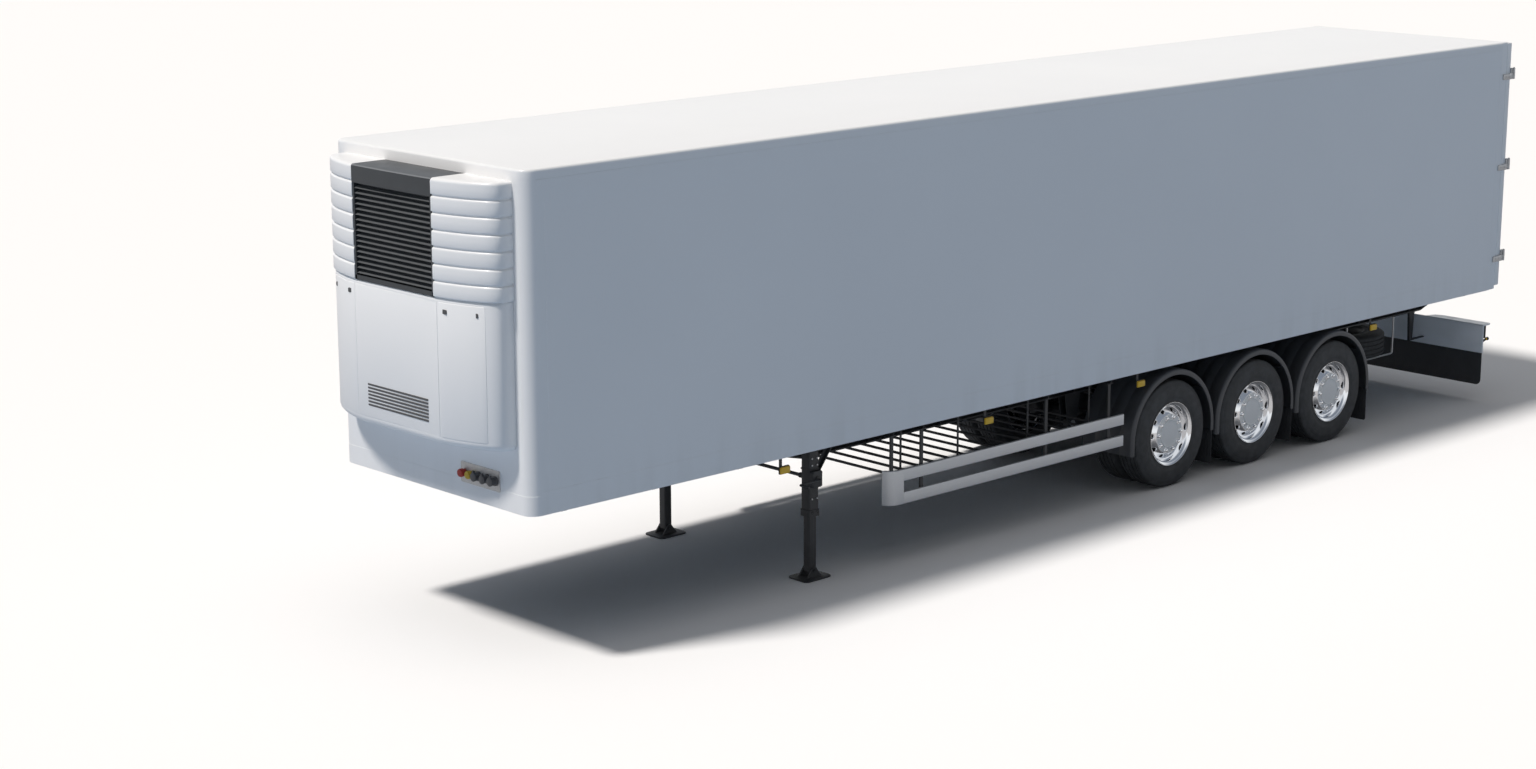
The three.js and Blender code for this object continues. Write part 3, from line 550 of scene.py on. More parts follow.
# Runs a repeat tree on a small piece and leaves a plain mesh in its place.
def repeated(build, tree, look, values):
    seed = bmesh.new()
    build(seed)
    bmesh.ops.recalc_face_normals(seed, faces=seed.faces)
    mesh = bpy.data.meshes.new("seed piece")
    seed.to_mesh(mesh)
    seed.free()
    holder = link("seed piece", mesh)
    repeat = holder.modifiers.new("repeat", "NODES")
    repeat.node_group = tree
    sockets = {item.name: item.identifier for item in tree.interface.items_tree if item.in_out == "INPUT"}
    for label, value in {**values, "Material": finishes[look]}.items():
        repeat[sockets[label]] = value
    evaluated = holder.evaluated_get(bpy.context.evaluated_depsgraph_get())
    result = bpy.data.meshes.new_from_object(evaluated)
    bpy.data.objects.remove(holder)
    return result


def addMesh(bm, mesh):
    bm.from_mesh(mesh)
    bpy.data.meshes.remove(mesh)


def addRow(bm, build, look, count, step):
    addMesh(bm, repeated(build, alongLine, look, {"Count": count, "Step": step}))


# Round the Y axis through the origin.
def addRing(bm, build, look, count):
    addMesh(bm, repeated(build, roundCircle, look, {"Count": count, "Turn": (0.0, 2 * pi / count, 0.0)}))


print("modelling tools ready")


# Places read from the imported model.
def span(node):
    low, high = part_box(node)
    return Vector(low), Vector(high)


def middleX(node):
    low, high = span(node)
    return (low.x + high.x) / 2


tyreLow, tyreHigh = span("tyre_outer_left_1")
wallLow, wallHigh = span("wall_left")
roofLow, roofHigh = span("roof")
frontLow, frontHigh = span("wall_front")
beamLow, beamHigh = span("beam_left")
bearerLow, bearerHigh = span("floor_bearers")
axleHeight = tyreHigh.z / 2
axleXs = [middleX(f"rim_left_{number}") for number in (1, 2, 3)]
tyreWidth = tyreHigh.y - tyreLow.y
twinSpacing = tyreHigh.y - span("tyre_inner_left_1")[1].y
boxHalf = wallHigh.y
boxFront = frontHigh.x
boxLow = wallLow.z
boxTop = roofHigh.z


# Wheels: built at the origin with the outer plane at y = 0, then set on each hub.
tyre = {
    "steps": 120, "radius": axleHeight, "bead": 0.2866,
    "grooves": (0.025, 0.074), "depth": 0.014, "width": 0.011,
}


# Half of the tyre's section as (radius, across), from the middle of the tread to the bead, then mirrored.
def buildTyre(bm):
    radius, deep, w = tyre["radius"], tyre["radius"] - tyre["depth"], tyre["width"] / 2
    half = [(radius, 0.0)]
    for middle in tyre["grooves"]:
        low, high = middle - w, middle + w
        half += [(radius - 0.0005, low - 0.001), (radius - 0.003, low), (deep, low + 0.0015)]
        half += [(deep, high - 0.0015), (radius - 0.003, high), (radius - 0.001, high + 0.001)]
    half += [
        (0.5305, 0.098), (0.528, 0.106), (0.522, 0.113), (0.510, 0.119), (0.492, 0.1255), (0.488, 0.1262),
        (0.486, 0.1278), (0.455, 0.1325), (0.42, 0.1348), (0.385, 0.1342), (0.360, 0.132), (0.358, 0.1305),
        (0.340, 0.1285), (0.330, 0.127), (0.322, 0.1262), (0.318, 0.121), (0.310, 0.117), (0.300, 0.113),
        (0.2925, 0.108), (tyre["bead"], 0.100),
    ]
    rows = [(r, -t) for r, t in half[:0:-1]] + half
    addTurned(bm, [(r, t - tyreWidth / 2) for r, t in rows], tyre["steps"], closedRows=True)


# A turned wheel part from rows of (radius, depth behind the outer plane).
def addDeep(bm, rows, steps):
    addTurned(bm, [(r, -deep) for r, deep in rows], steps)


rim = {"steps": 120, "holes": 10, "holeAt": 0.2300, "holeRadius": 0.0240, "dish": (0.2005, 0.034, 0.262, 0.094)}


def buildRim(bm, twin=True):
    inner, innerDeep, outer, outerDeep = rim["dish"]
    lip = [
        (outer, outerDeep), (0.2665, 0.096), (0.2705, 0.090), (0.2735, 0.072), (0.2765, 0.047), (0.281, 0.031),
        (0.2885, 0.0215), (0.297, 0.0165), (0.304, 0.0125), (0.309, 0.0075), (0.3125, 0.0045), (0.3155, 0.0045),
    ]
    seat = [
        (0.3165, 0.0075), (0.315, 0.012), (0.300, 0.020), (0.290, 0.030), (0.2862, 0.040), (0.2862, 0.230),
        (0.290, 0.240), (0.300, 0.250), (0.315, 0.258), (0.3165, 0.2625),
    ]
    seats = [(r, shift + deep) for shift in ((0, twinSpacing) if twin else (0,)) for r, deep in seat]
    back = [
        (0.3145, 0.5605), (0.308, 0.557), (0.296, 0.548), (0.283, 0.528), (0.274, 0.500), (0.271, 0.430),
        (0.270, 0.415), (0.206, 0.415), (0.205, 0.420), (0.205, 0.540), (0.202, 0.545), (0.047, 0.545),
        (0.047, 0.440), (0.0, 0.440),
    ]
    if not twin:
        back = [(0.3145, 0.2635), (0.308, 0.260), (0.296, 0.252), (0.283, 0.238), (0.275, 0.200)]
        back += [(0.271, 0.140), (0.262, 0.128), (0.205, 0.070), (0.199, 0.062), (0.0, 0.062)]
    addDeep(bm, lip + seats + back, rim["steps"])
    addDeep(bm, [(0.0, 0.031), (0.197, 0.031), (inner, innerDeep)], rim["steps"])
    addRing(bm, buildDishSector, "alloy" if twin else "frame", rim["holes"])


# One tenth of the dish, with its hand hole, fitted between two rings of the turned body.
def buildDishSector(bm):
    inner, innerDeep, outer, outerDeep = rim["dish"]
    half = pi / rim["holes"]
    edge = rim["steps"] // rim["holes"]
    across = [i / edge * 2 - 1 for i in range(edge + 1)]
    upright = [i / 4 for i in range(5)]
    border = [(a, 0.0) for a in across] + [(1.0, v) for v in upright[1:]]
    border += [(a, 1.0) for a in across[-2::-1]] + [(-1.0, v) for v in upright[-2:0:-1]]
    slope = hypot(outer - inner, outerDeep - innerDeep)
    middle = (rim["holeAt"] - inner) / (outer - inner)
    reach = rim["holeAt"] * half

    def toPoint(a, v, sunk):
        r = inner + (outer - inner) * v
        s = innerDeep + (outerDeep - innerDeep) * v + sunk
        return (r * cos(a * half), -s, r * sin(a * half))

    # From the border (share 0) to the edge of the hole (share 1).
    def ringAt(share, sunk=0.0, wider=0.0):
        ring = []
        for a, v in border:
            turn = atan2((v - middle) * slope, a * reach)
            radius = rim["holeRadius"] + wider
            holeA, holeV = radius * cos(turn) / reach, middle + radius * sin(turn) / slope
            ring.append(toPoint(a + (holeA - a) * share, v + (holeV - v) * share, sunk))
        return ring

    rings = [ringAt(0), ringAt(0.4), ringAt(0.75), ringAt(1, 0, 0.0035), ringAt(1, 0.0012, 0.001)]
    rings += [ringAt(1, 0.004), ringAt(1, 0.020)]
    around = [0.02 * i for i in range(len(border) + 1)]
    addLoft(bm, rings, capped=False, mapping=([0.006 * i for i in range(len(rings))], around))


nut = {"count": 10, "circle": 0.167, "radius": 0.0175, "height": 0.021, "foot": -0.031}


def buildNut(bm):
    centre, low, r = (nut["circle"], 0, 0), nut["foot"], nut["radius"]
    top = low + nut["height"]
    washer = [(0.0, low + 0.004), (0.0225, low + 0.004), (0.0235, low + 0.002), (0.0235, low - 0.001)]
    addTurned(bm, washer, 20, centre)
    hexagon = [(r, low), (r, top - 0.004), (r * 0.86, top), (r * 0.55, top + 0.0035), (0.0, top + 0.005)]
    addTurned(bm, hexagon, 6, centre)


def buildNuts(bm):
    addRing(bm, buildNut, "chrome", nut["count"])


def buildHubCap(bm):
    addDeep(bm, [
        (0.0, 0.0240), (0.040, 0.0240), (0.100, 0.0243), (0.124, 0.0248), (0.1270, 0.0242),
        (0.1295, 0.0222), (0.1325, 0.0215), (0.1360, 0.0228), (0.1385, 0.0262), (0.1390, 0.0302),
        (0.1900, 0.0304), (0.1945, 0.0306), (0.1955, 0.0320),
    ], 80)


def buildDrum(bm):
    addDeep(bm, [(0.0, 0.135), (0.2, 0.135), (0.252, 0.150), (0.262, 0.165)], 60)


def bakeMesh(name, build, look, **options):
    bm = bmesh.new()
    build(bm, **options)
    return toMesh(name, bm), look


def placed(name, part, matrix, body, replaced=()):
    mesh, look = part
    bm = bmesh.new()
    bm.from_mesh(mesh)
    bmesh.ops.transform(bm, matrix=matrix, verts=bm.verts)
    piece(name, bm, look, body, replaced)


tyrePart = bakeMesh("tyre", buildTyre, "tyre")
rimPart = bakeMesh("rim", buildRim, "alloy")
smallParts = {
    "wheelNuts": bakeMesh("nuts", buildNuts, "chrome"),
    "hubCap": bakeMesh("cap", buildHubCap, "cap"),
    "brakeDrum": bakeMesh("drum", buildDrum, "frame"),
}
for number, hubX in enumerate(axleXs, 1):
    for side, sign in (("left", 1), ("right", -1)):
        key = f"{side}_{number}"
        wheelBody = f"wheel_{key}"
        onHub = Matrix.Translation((hubX, sign * tyreHigh.y, axleHeight)) @ Matrix.Diagonal((1, sign, 1, 1))
        inside = onHub @ Matrix.Translation((0, -twinSpacing, 0))
        placed(f"treadedTyreOuter_{key}", tyrePart, onHub, wheelBody, [f"tyre_outer_{key}"])
        placed(f"treadedTyreInner_{key}", tyrePart, inside, wheelBody, [f"tyre_inner_{key}"])
        placed(f"piercedRim_{key}", rimPart, onHub, wheelBody, [f"rim_{key}"])
        for label, part in smallParts.items():
            placed(f"{label}_{key}", part, onHub, wheelBody)

# The spare lies flat with its outer face down.
spareX = middleX("spare_tyre")
spareLow = span("spare_tyre")[0].z
faceDown = Matrix.Translation((spareX, 0, spareLow)) @ Matrix.Rotation(-pi / 2, 4, "X")
placed("spareTreadedTyre", tyrePart, faceDown, "trailer", ["spare_tyre"])
print("wheels ready")


# Fenders.
fender = {
    "radius": 0.645, "shell": 0.008, "lip": 0.056, "steps": 72, "frontLow": 0.412, "rearLow": 0.472,
    "inner": 0.632, "outer": 1.236, "round": 0.026, "ribs": (0.78, 0.93, 1.08),
}


# Stations of the outer line: a point and the way inwards at each.
def fenderLine(hubX):
    radius, front, rear = fender["radius"], fender["frontLow"], fender["rearLow"]
    line = [((hubX + radius, front + (axleHeight - front) * i / 3), (-1, 0)) for i in range(3)]
    for a in angles(pi, fender["steps"]):
        line.append(((hubX + radius * cos(a), axleHeight + radius * sin(a)), (-cos(a), -sin(a))))
    return line + [((hubX - radius, axleHeight - (axleHeight - rear) * i / 3), (1, 0)) for i in (1, 2, 3)]


# The section as (across, depth): the crown with its ribs, the rounded edge and the lip under it.
def fenderSection():
    inner, outer, shell, lip, r = (fender[key] for key in ("inner", "outer", "shell", "lip", "round"))
    section = [(inner, 0.004), (inner + 0.004, 0.0)]
    for rib in fender["ribs"]:
        section += [(rib - 0.016, 0.0), (rib - 0.010, 0.0035), (rib + 0.010, 0.0035), (rib + 0.016, 0.0)]
    section += [(outer - r + r * sin(a), r - r * cos(a)) for a in angles(pi / 2, 7)]
    section += [(outer, lip - 0.005), (outer - 0.004, lip), (outer - 0.010, lip), (outer - 0.014, lip - 0.005)]
    return section + [(outer - 0.014, 0.028), (outer - 0.019, 0.016), (outer - 0.032, shell), (inner, shell)]


def buildFender(bm, hubX):
    line, section = fenderLine(hubX), fenderSection()
    addLoft(bm, [[(x + dx * depth, y, z + dz * depth) for y, depth in section] for (x, z), (dx, dz) in line])


flap = {"inner": 0.662, "outer": 1.206, "low": 0.12, "high": 0.515, "thick": 0.007, "ribs": 15}
flapWidth = flap["outer"] - flap["inner"]
stay = {"clampAt": 0.455, "angles": (38, 142), "reach": 0.622, "inner": 0.50, "outer": 1.15, "radius": 0.014}


def buildFlap(bm, hubX):
    x, y = hubX - fender["radius"] + 0.001, flap["inner"]
    addPlate(bm, y, flap["outer"], flap["low"], flap["high"], 0.02, "x", x, x + flap["thick"] - 0.001)
    low, high = (x + 0.004, y + 0.028, flap["low"] + 0.03), (x + 0.009, y + 0.032, flap["high"] - 0.06)
    step = (flapWidth - 0.06) / (flap["ribs"] - 1)
    addRow(bm, lambda seed: addBox(seed, low, high), "flap", flap["ribs"], (0, step, 0))


# The clamp strip and its bolts hold the flap, and two stays reach in to the frame.
def buildStays(bm, hubX):
    x, first, z = hubX - fender["radius"] + 0.008, flap["inner"] + 0.05, stay["clampAt"]
    addBox(bm, (x, flap["inner"] + 0.01, z - 0.015), (x + 0.004, flap["outer"] - 0.01, z + 0.015))
    step = (0, (flapWidth - 0.1) / 4, 0)
    addRow(bm, lambda seed: addPin(seed, first, z, "x", x + 0.003, x + 0.012, 0.009), "zinc", 5, step)
    for angle in stay["angles"]:
        a, reach = radians(angle), stay["reach"]
        middle = (hubX + reach * cos(a), axleHeight + reach * sin(a))
        addPin(bm, *middle, "y", stay["inner"], stay["outer"], stay["radius"], 10)


def at(hubX, build):
    return lambda bm: build(bm, hubX)


for number, hubX in enumerate(axleXs, 1):
    for side in ("left", "right"):
        ending = f"_{number}"
        sidePiece(side, "roundedFender", at(hubX, buildFender), "plastic", "trailer", ["fender"], ending)
        sidePiece(side, "mudFlap", at(hubX, buildFlap), "flap", ending=ending)
        sidePiece(side, "flapClamp", at(hubX, buildStays), "frame", ending=ending)
print("fenders ready")


# Load box skins and rails.
box = {
    "corner": 0.11, "edge": 0.022, "steps": 18, "proud": 0.0014, "topRail": 0.185, "lowRail": 0.19,
    "frontRail": 0.16, "wall": 0.09, "rivetPitch": 0.12,
}
sideFront = boxFront - box["corner"]
lowRailTop = boxLow + box["lowRail"]
topRailLow = wallHigh.z - box["topRail"]


# Plan of the box front from left to right, drawn in by inset.
def frontPlan(inset=0.0):
    radius, y = box["corner"] - inset, boxHalf - box["corner"]
    return [point for side, turn in ((y, 90), (-y, 0))
            for point in arcPoints(sideFront, side, radius, turn, turn - 90, box["steps"])]


def buildFrontWall(bm):
    outline = [(frontLow.x, boxHalf)] + frontPlan() + [(frontLow.x, -boxHalf), (frontLow.x, -wallLow.y)]
    inside = boxFront - box["wall"]
    outline += [(inside, -wallLow.y), (inside, wallLow.y), (frontLow.x, wallLow.y)]
    addExtrusion(bm, outline, "z", frontLow.z, frontHigh.z)


def buildRoof(bm):
    rings = [[(x, y, roofLow.z) for x, y in [(roofLow.x, boxHalf)] + frontPlan() + [(roofLow.x, -boxHalf)]]]
    for inset, drop in quarterRound(box["edge"], 6):
        outline = [(roofLow.x, boxHalf - inset)] + frontPlan(inset) + [(roofLow.x, -boxHalf + inset)]
        rings.append([(x, y, roofHigh.z - drop) for x, y in outline])
    addLoft(bm, rings)


def buildSideRails(bm):
    y, out = boxHalf - 0.001, boxHalf + box["proud"]
    for low, high in ((topRailLow, wallHigh.z), (boxLow, lowRailTop)):
        section = [(y, low), (out, low + 0.0015), (out, high - 0.0015), (y, high)]
        addExtrusion(bm, section, "x", wallLow.x, sideFront)
    for x in (wallHigh.x - 0.012, wallLow.x + 0.002):
        section = [(x, y), (x + 0.002, out), (x + 0.022, out), (x + 0.024, y)]
        addExtrusion(bm, section, "z", lowRailTop, topRailLow)


def buildSideRivets(bm):
    start, y, pitch = wallLow.x + 0.08, boxHalf + box["proud"], box["rivetPitch"]
    count = int((sideFront - start - 0.05) / pitch)
    rows = [(0.0, y + 0.0016), (0.003, y + 0.0012), (0.0048, y - 0.0005)]
    for z in (topRailLow + 0.018, wallHigh.z - 0.02, boxLow + 0.02, lowRailTop - 0.018):
        addRow(bm, lambda seed: addTurned(seed, rows, 8, (start, 0, z)), "panel", count, (pitch, 0, 0))


# A low sill round the front.
def buildFrontRails(bm):
    low, high = boxLow, boxLow + box["frontRail"]
    sides = zip(frontPlan(0.001), frontPlan(-box["proud"]))
    addLoft(bm, [[(*a, low), (*b, low + 0.002), (*b, high - 0.002), (*a, high)] for a, b in sides])


single("frontWallSkin", buildFrontWall, "panel", ["wall_front"])
single("roofSkin", buildRoof, "panel", ["roof"], smooth=50)
piecePair("sideRails", buildSideRails, "panel")
piecePair("sideRivets", buildSideRivets, "panel")
single("frontRails", buildFrontRails, "panel")
print("load box ready")


# Cooling unit.
unitLow = span("cooler_lower")[0].z
louvreLow, unitHigh = (end.z for end in span("cooler_centre"))
cowlInner, cowlOuter = (end.y for end in span("cooler_cowl_left"))
cowl = {
    "curve": [(0.580, 0.340), (0.490, 0.327), (0.400, 0.309), (0.250, 0.268), (0.130, 0.220), (0.054, 0.176),
              (0.012, 0.128), (0.0, 0.070)],
    "bands": 7, "groove": 0.014, "steps": 5, "round": 0.028,
}
skinX = boxFront + 0.001


# A smooth line through the plan points, as (across, forward) pairs from the middle outwards.
def cowlLine():
    points = [Vector((cowlOuter - inward, forward)) for inward, forward in cowl["curve"]]
    points = [points[0] * 2 - points[1]] + points + [Vector((cowlOuter, 0.02))]
    line = []
    for i in range(1, len(points) - 2):
        p0, p1, p2, p3 = points[i - 1:i + 3]
        for k in range(cowl["steps"]):
            t = k / cowl["steps"]
            squared, cubed = 2 * p0 - 5 * p1 + 4 * p2 - p3, 3 * p1 - p0 - 3 * p2 + p3
            line.append(0.5 * (2 * p1 + (p2 - p0) * t + squared * t * t + cubed * t ** 3))
    return line + [points[-2], Vector((cowlOuter, 0.03)), Vector((cowlOuter, 0.0005))]


# The same line drawn inwards by inset, with nothing nearer the middle than start.
def cowlPlan(inset, start=0.0):
    line = cowlLine()
    plan = []
    for i, point in enumerate(line):
        along = (line[min(i + 1, len(line) - 1)] - line[max(i - 1, 0)]).normalized()
        moved = point - Vector((-along.y, along.x)) * inset
        moved = Vector((max(moved.x, start), max(moved.y, 0.0005)))
        plan.append((boxFront + moved.y, moved.x))
    return plan


def buildCowl(bm):
    deep = cowl["groove"]
    height = (unitHigh - louvreLow) / cowl["bands"]
    section = [(0.0, deep), (0.035, deep), (0.05, 0.006), (0.07, 0.002), (0.11, 0.0), (0.5, 0.0)]
    section += [(0.80, 0.0002), (0.865, 0.0015), (0.905, 0.0045), (0.935, 0.0095), (0.957, deep)]
    rows = []
    for band in range(cowl["bands"]):
        last = band == cowl["bands"] - 1
        for share, inset in section[:6] if last else section:
            rows.append((louvreLow + 0.0003 + height * (band + share), inset))
    rows += [(unitHigh - drop, inset) for inset, drop in quarterRound(cowl["round"], 8)]
    rings = []
    for z, inset in rows + [(unitHigh, 0.06)]:
        rings.append([(x, y, z) for x, y in [(boxFront + 0.0005, cowlInner)] + cowlPlan(inset, cowlInner)])
    addLoft(bm, rings)


centre = {"depth": 0.347, "slats": 17, "hood": 0.150, "bow": 0.009}


def buildCentre(bm):
    half, low, high = cowlInner - 0.0006, louvreLow + 0.004, unitHigh - 0.001
    front, hood, bow = boxFront + centre["depth"], high - centre["hood"], centre["bow"]
    outline = [(skinX, half), (front - bow, half)]
    outline += [(front - bow * (y / half) ** 2, y) for y in [half * (0.98 - 0.14 * i) for i in range(15)]]
    outline += [(front - bow, -half), (skinX, -half)]
    rows = [(hood, 0.006), (hood + 0.006, 0), (high - 0.010, 0), (high - 0.001, 0.009), (high, 0.012)]
    addLoft(bm, [[(max(x - inset, skinX), y, z) for x, y in outline] for z, inset in rows])
    addBox(bm, (skinX, -half, low), (front - 0.075, half, hood))
    for y in (half - 0.022, -half):
        addBox(bm, (front - 0.08, y, low), (front - 0.014, y + 0.022, hood + 0.002))
    addBox(bm, (front - 0.08, -half, low), (front - 0.014, half, low + 0.035))
    z = low + 0.045
    slat = [(0.066, 0.026), (0.020, 0.004), (0.017, 0.007), (0.062, 0.030)]
    slat = [(front - behind, z + up) for behind, up in slat]
    step, end = (0, 0, (hood - low - 0.05) / centre["slats"]), half - 0.02
    addRow(bm, lambda seed: addExtrusion(seed, slat, "y", -end, end), "plastic", centre["slats"], step)


# A rounded panel that follows the unit's plan between two places across.
def addPanel(bm, start, stop, low, high, shift, edge, thick):
    side = [(x, y) for x, y in cowlPlan(shift) if y <= cowlOuter - shift * 0.55]
    line = [(x, -y) for x, y in side[::-1]] + side[1:]
    line = [(x, y) for x, y in line if start + 0.012 < y < stop - 0.012]

    def depthAt(y):
        return min(side, key=lambda point: abs(point[1] - abs(y)))[0]

    startX, stopX = depthAt(start) - edge, depthAt(stop) - edge
    rings = []
    for z, inset in easedRows(low, high, (0, edge), (edge * 0.3, edge * 0.3), (edge, 0)):
        outer = [(startX, start), (startX + edge * 0.7, start + edge * 0.3)] + line
        outer += [(stopX + edge * 0.7, stop - edge * 0.3), (stopX, stop)]
        count = len(outer)
        ends = {0: inset, 1: inset, count - 2: -inset, count - 1: -inset}
        outer = [(x - inset, y + ends.get(i, 0)) for i, (x, y) in enumerate(outer)]
        back = [(max(x - thick, skinX), y) for x, y in outer[::-1]]
        rings.append([(x, y, z) for x, y in outer + back])
    addLoft(bm, rings)


def buildLowerShell(bm):
    plan = [(x, min(y, cowlOuter - 0.008)) for x, y in cowlPlan(0.014)]
    outline = plan + [(x, -y) for x, y in plan[::-1]]
    rows = [(unitLow, 0.05), (unitLow + 0.004, 0.036), (unitLow + 0.014, 0.020), (unitLow + 0.032, 0.007)]
    rows += [(unitLow + 0.06, 0.0), (louvreLow - 0.03, 0.0), (louvreLow - 0.012, 0.002)]
    rows += [(louvreLow - 0.004, 0.008), (louvreLow - 0.001, 0.018)]
    rings = []
    for z, inset in rows:
        ring = [(max(x - boxFront - inset, 0.0008), y - copysign(inset * 0.7, y)) for x, y in outline]
        rings.append([(boxFront + depth, y, z) for depth, y in ring])
    addLoft(bm, rings)


piecePair("louvredCowl", buildCowl, "panel", replaced=["cooler_cowl"], smooth=32)
single("coolerCentre", buildCentre, "hood", ["cooler_centre"])
single("coolerLower", buildLowerShell, "panel", ["cooler_lower"], smooth=35)
print("cooling unit ready")


# Side guards.
guardLow, guardHigh = span("side_guard_left")
guard = {
    "rail": 0.104, "thick": 0.030, "pitch": 0.208,
    "noseLength": 0.260, "noseTall": 0.314, "bendFrom": 0.200, "bend": 0.125, "tip": 0.094,
    "posts": (2.5915, 2.2095, 0.5315, -0.3735), "post": 0.038, "deep": 0.020,
}


# Two rails, and a nose at the front end that bends inwards.
def buildGuardRails(bm):
    y, thick, slot = guardHigh.y, guard["thick"], guardHigh.x - guard["noseLength"]
    for low in (guardLow.z, guardLow.z + guard["pitch"]):
        addPlate(bm, y - thick, y, low, low + guard["rail"], 0.005, "x", guardLow.x, slot + 0.0005, 3)
    x, r, tip = guardHigh.x - guard["bendFrom"], guard["bend"], y - guard["tip"]
    bend = [(x + r * sin(a), y - r + r * cos(a)) for a in [radians(8 * i) for i in range(8)]]
    outer = [(slot, y), (x - 0.02, y)] + bend + [(x + 0.121, tip)]
    inner = [(x + 0.089, tip)] + [(x + 0.75 * (p - x), y - thick - 0.72 * (y - q)) for p, q in bend[::-1]]
    inner += [(slot, y - thick)]
    rings = []
    eased = (0, 0.004), (0.002, 0.001), (0.005, 0)
    for z, inset in easedRows(guardLow.z, guardLow.z + guard["noseTall"], *eased):
        rings.append([(p, q - inset, z) for p, q in outer] + [(p, q + inset, z) for p, q in inner])
    addLoft(bm, rings)


def buildGuardPosts(bm):
    outer, half, low, high = guardHigh.y - guard["thick"] - 0.0006, guard["post"] / 2, guardLow.z, guardHigh.z
    inner = outer - guard["deep"]
    for i, x in enumerate(guard["posts"]):
        addBox(bm, (x - half, inner, low + (0.255 if i == 0 else 0.02)), (x + half, outer, low + 0.294))
        addBox(bm, (x - half, inner, low + 0.255), (x + half, outer - 0.002, high))
        addBox(bm, (x - 0.05, inner - 0.03, high - 0.008), (x + 0.05, outer - 0.002, high))


piecePair("guardRails", buildGuardRails, "satin", replaced=["side_guard"])
piecePair("guardPosts", buildGuardPosts, "frame", bevel=0.004)
print("side guards ready")


# Rear frame, doors and their locks.
boxLength = 13.65
doorFace = boxFront - boxLength
rearFrame = {"front": wallLow.x - 0.0003, "depth": 0.097, "post": 0.070, "header": 0.110, "sill": 0.130}
frameBack = rearFrame["front"] - rearFrame["depth"]
hinges = {
    "heights": (1.598, 2.610, 3.601), "tall": 0.060,
    "x": doorFace - 0.048, "y": boxHalf + 0.010, "radius": 0.013,
}
door = {"inner": 0.010, "outer": boxHalf - 0.004, "low": 1.268, "high": 3.936, "thick": 0.080}


def buildRearFrame(bm):
    ahead, back = rearFrame["front"], frameBack
    half, low, high = boxHalf - rearFrame["post"], boxLow + rearFrame["sill"], boxTop - rearFrame["header"]
    outer = roundedOutline(-boxHalf, boxHalf, boxLow, boxTop, 0.014)
    rings = stack(outer, "x", [(ahead, 0), (back + 0.004, 0), (back, 0.004)])
    inner = roundedOutline(-half, half, low, high, 0.006)
    rings += stack(inner, "x", [(back, -0.004), (back + 0.004, 0), (ahead, 0)])
    addLoft(bm, rings, capped=False, looped=True)


def buildHingeArms(bm):
    x, y, r = hinges["x"], hinges["y"], hinges["radius"]
    for height in hinges["heights"]:
        low, high = height - 0.0605, height - 0.0005
        outline = roundedOutline(x - 0.004, rearFrame["front"] - 0.03, low, high, 0.012)
        addStack(bm, outline, "y", [(y - 0.0085, 0), (y + 0.0008, 0), (y + 0.002, 0.002)])
        knuckle = [(0, low), (r - 0.002, low), (r, low + 0.002), (r, high - 0.001), (0, high - 0.001)]
        addTurned(bm, knuckle, 20, (x, y, 0), upright=True)
        bolt = [(0.0, y + 0.0065), (0.007, y + 0.006), (0.009, y + 0.003), (0.009, y)]
        for offset in (0.085, 0.15):
            addTurned(bm, bolt, 12, (x + offset, 0, (low + high) / 2))


# The strap on the door, with its bolts, and the knuckle on the pin above the frame's own.
def buildHingeStraps(bm):
    x, y, r, outer = hinges["x"], hinges["y"], hinges["radius"], door["outer"]
    for low in hinges["heights"]:
        high = low + hinges["tall"]
        strap = roundedOutline(outer - 0.190, outer, low, high, 0.012)
        addStack(bm, strap, "x", [(doorFace + 0.001, 0), (doorFace - 0.010, 0), (doorFace - 0.012, 0.002)])
        addBox(bm, (x, outer - 0.015, low + 0.001), (doorFace + 0.001, y - 0.004, high - 0.001))
        knuckle = [(0, low), (r, low), (r, high - 0.002), (r - 0.002, high), (0, high)]
        addTurned(bm, knuckle, 20, (x, y, 0), upright=True)
        cap = [(0, high), (0.008, high), (0.008, high + 0.006), (0, high + 0.008)]
        addTurned(bm, cap, 12, (x, y, 0), upright=True)
        place = (outer - 0.160, (low + high) / 2, "x", doorFace - 0.011, doorFace - 0.019, 0.010)
        addRow(bm, lambda seed: addPin(seed, *place), "zinc", 3, (0, 0.052, 0))


def buildDoorPanel(bm):
    x, back = doorFace, doorFace + door["thick"]
    outline = roundedOutline(door["inner"], door["outer"], door["low"], door["high"], 0.010)
    rows = [(back, 0.003), (back - 0.003, 0.0), (x + 0.005, 0.0), (x + 0.0015, 0.0015), (x, 0.005)]
    addStack(bm, outline, "x", rows)


plug = {"inner": 0.026, "outer": 1.164, "low": 1.378, "high": 3.824, "corner": 0.03}


# The plug that fills the doorway from inside.
def buildDoorPlug(bm):
    x = doorFace + door["thick"] - 0.0005
    outline = roundedOutline(*plug.values())
    addStack(bm, outline, "x", [(x, 0), (x + 0.012, 0), (x + 0.038, 0.014)])


# Two soft lips run round the plug, and a flat one shows at the door's edge.
def buildDoorGasket(bm):
    x, inner, outer = doorFace + door["thick"] - 0.0005, door["inner"], door["outer"]
    low, high = door["low"], door["high"]
    for inset, reach, width in ((0.014, 0.007, 0.010), (0.030, 0.009, 0.008)):
        lip = roundedOutline(inner + inset * 0.3, outer - inset, low + inset, high - inset, 0.02)
        rings = stack(lip, "x", [(x, 0), (x + reach, 0), (x + reach, width), (x, width)])
        addLoft(bm, rings, capped=False, looped=True)
    addBox(bm, (doorFace + 0.020, 0.0012, low + 0.002), (doorFace + 0.070, 0.0105, high - 0.002))


lock = {
    "rows": (0.19, 0.79), "x": doorFace - 0.021, "radius": 0.0135, "low": 1.262, "high": 3.906,
    "guides": (1.382, 2.582, 3.772), "handle": 1.702,
}


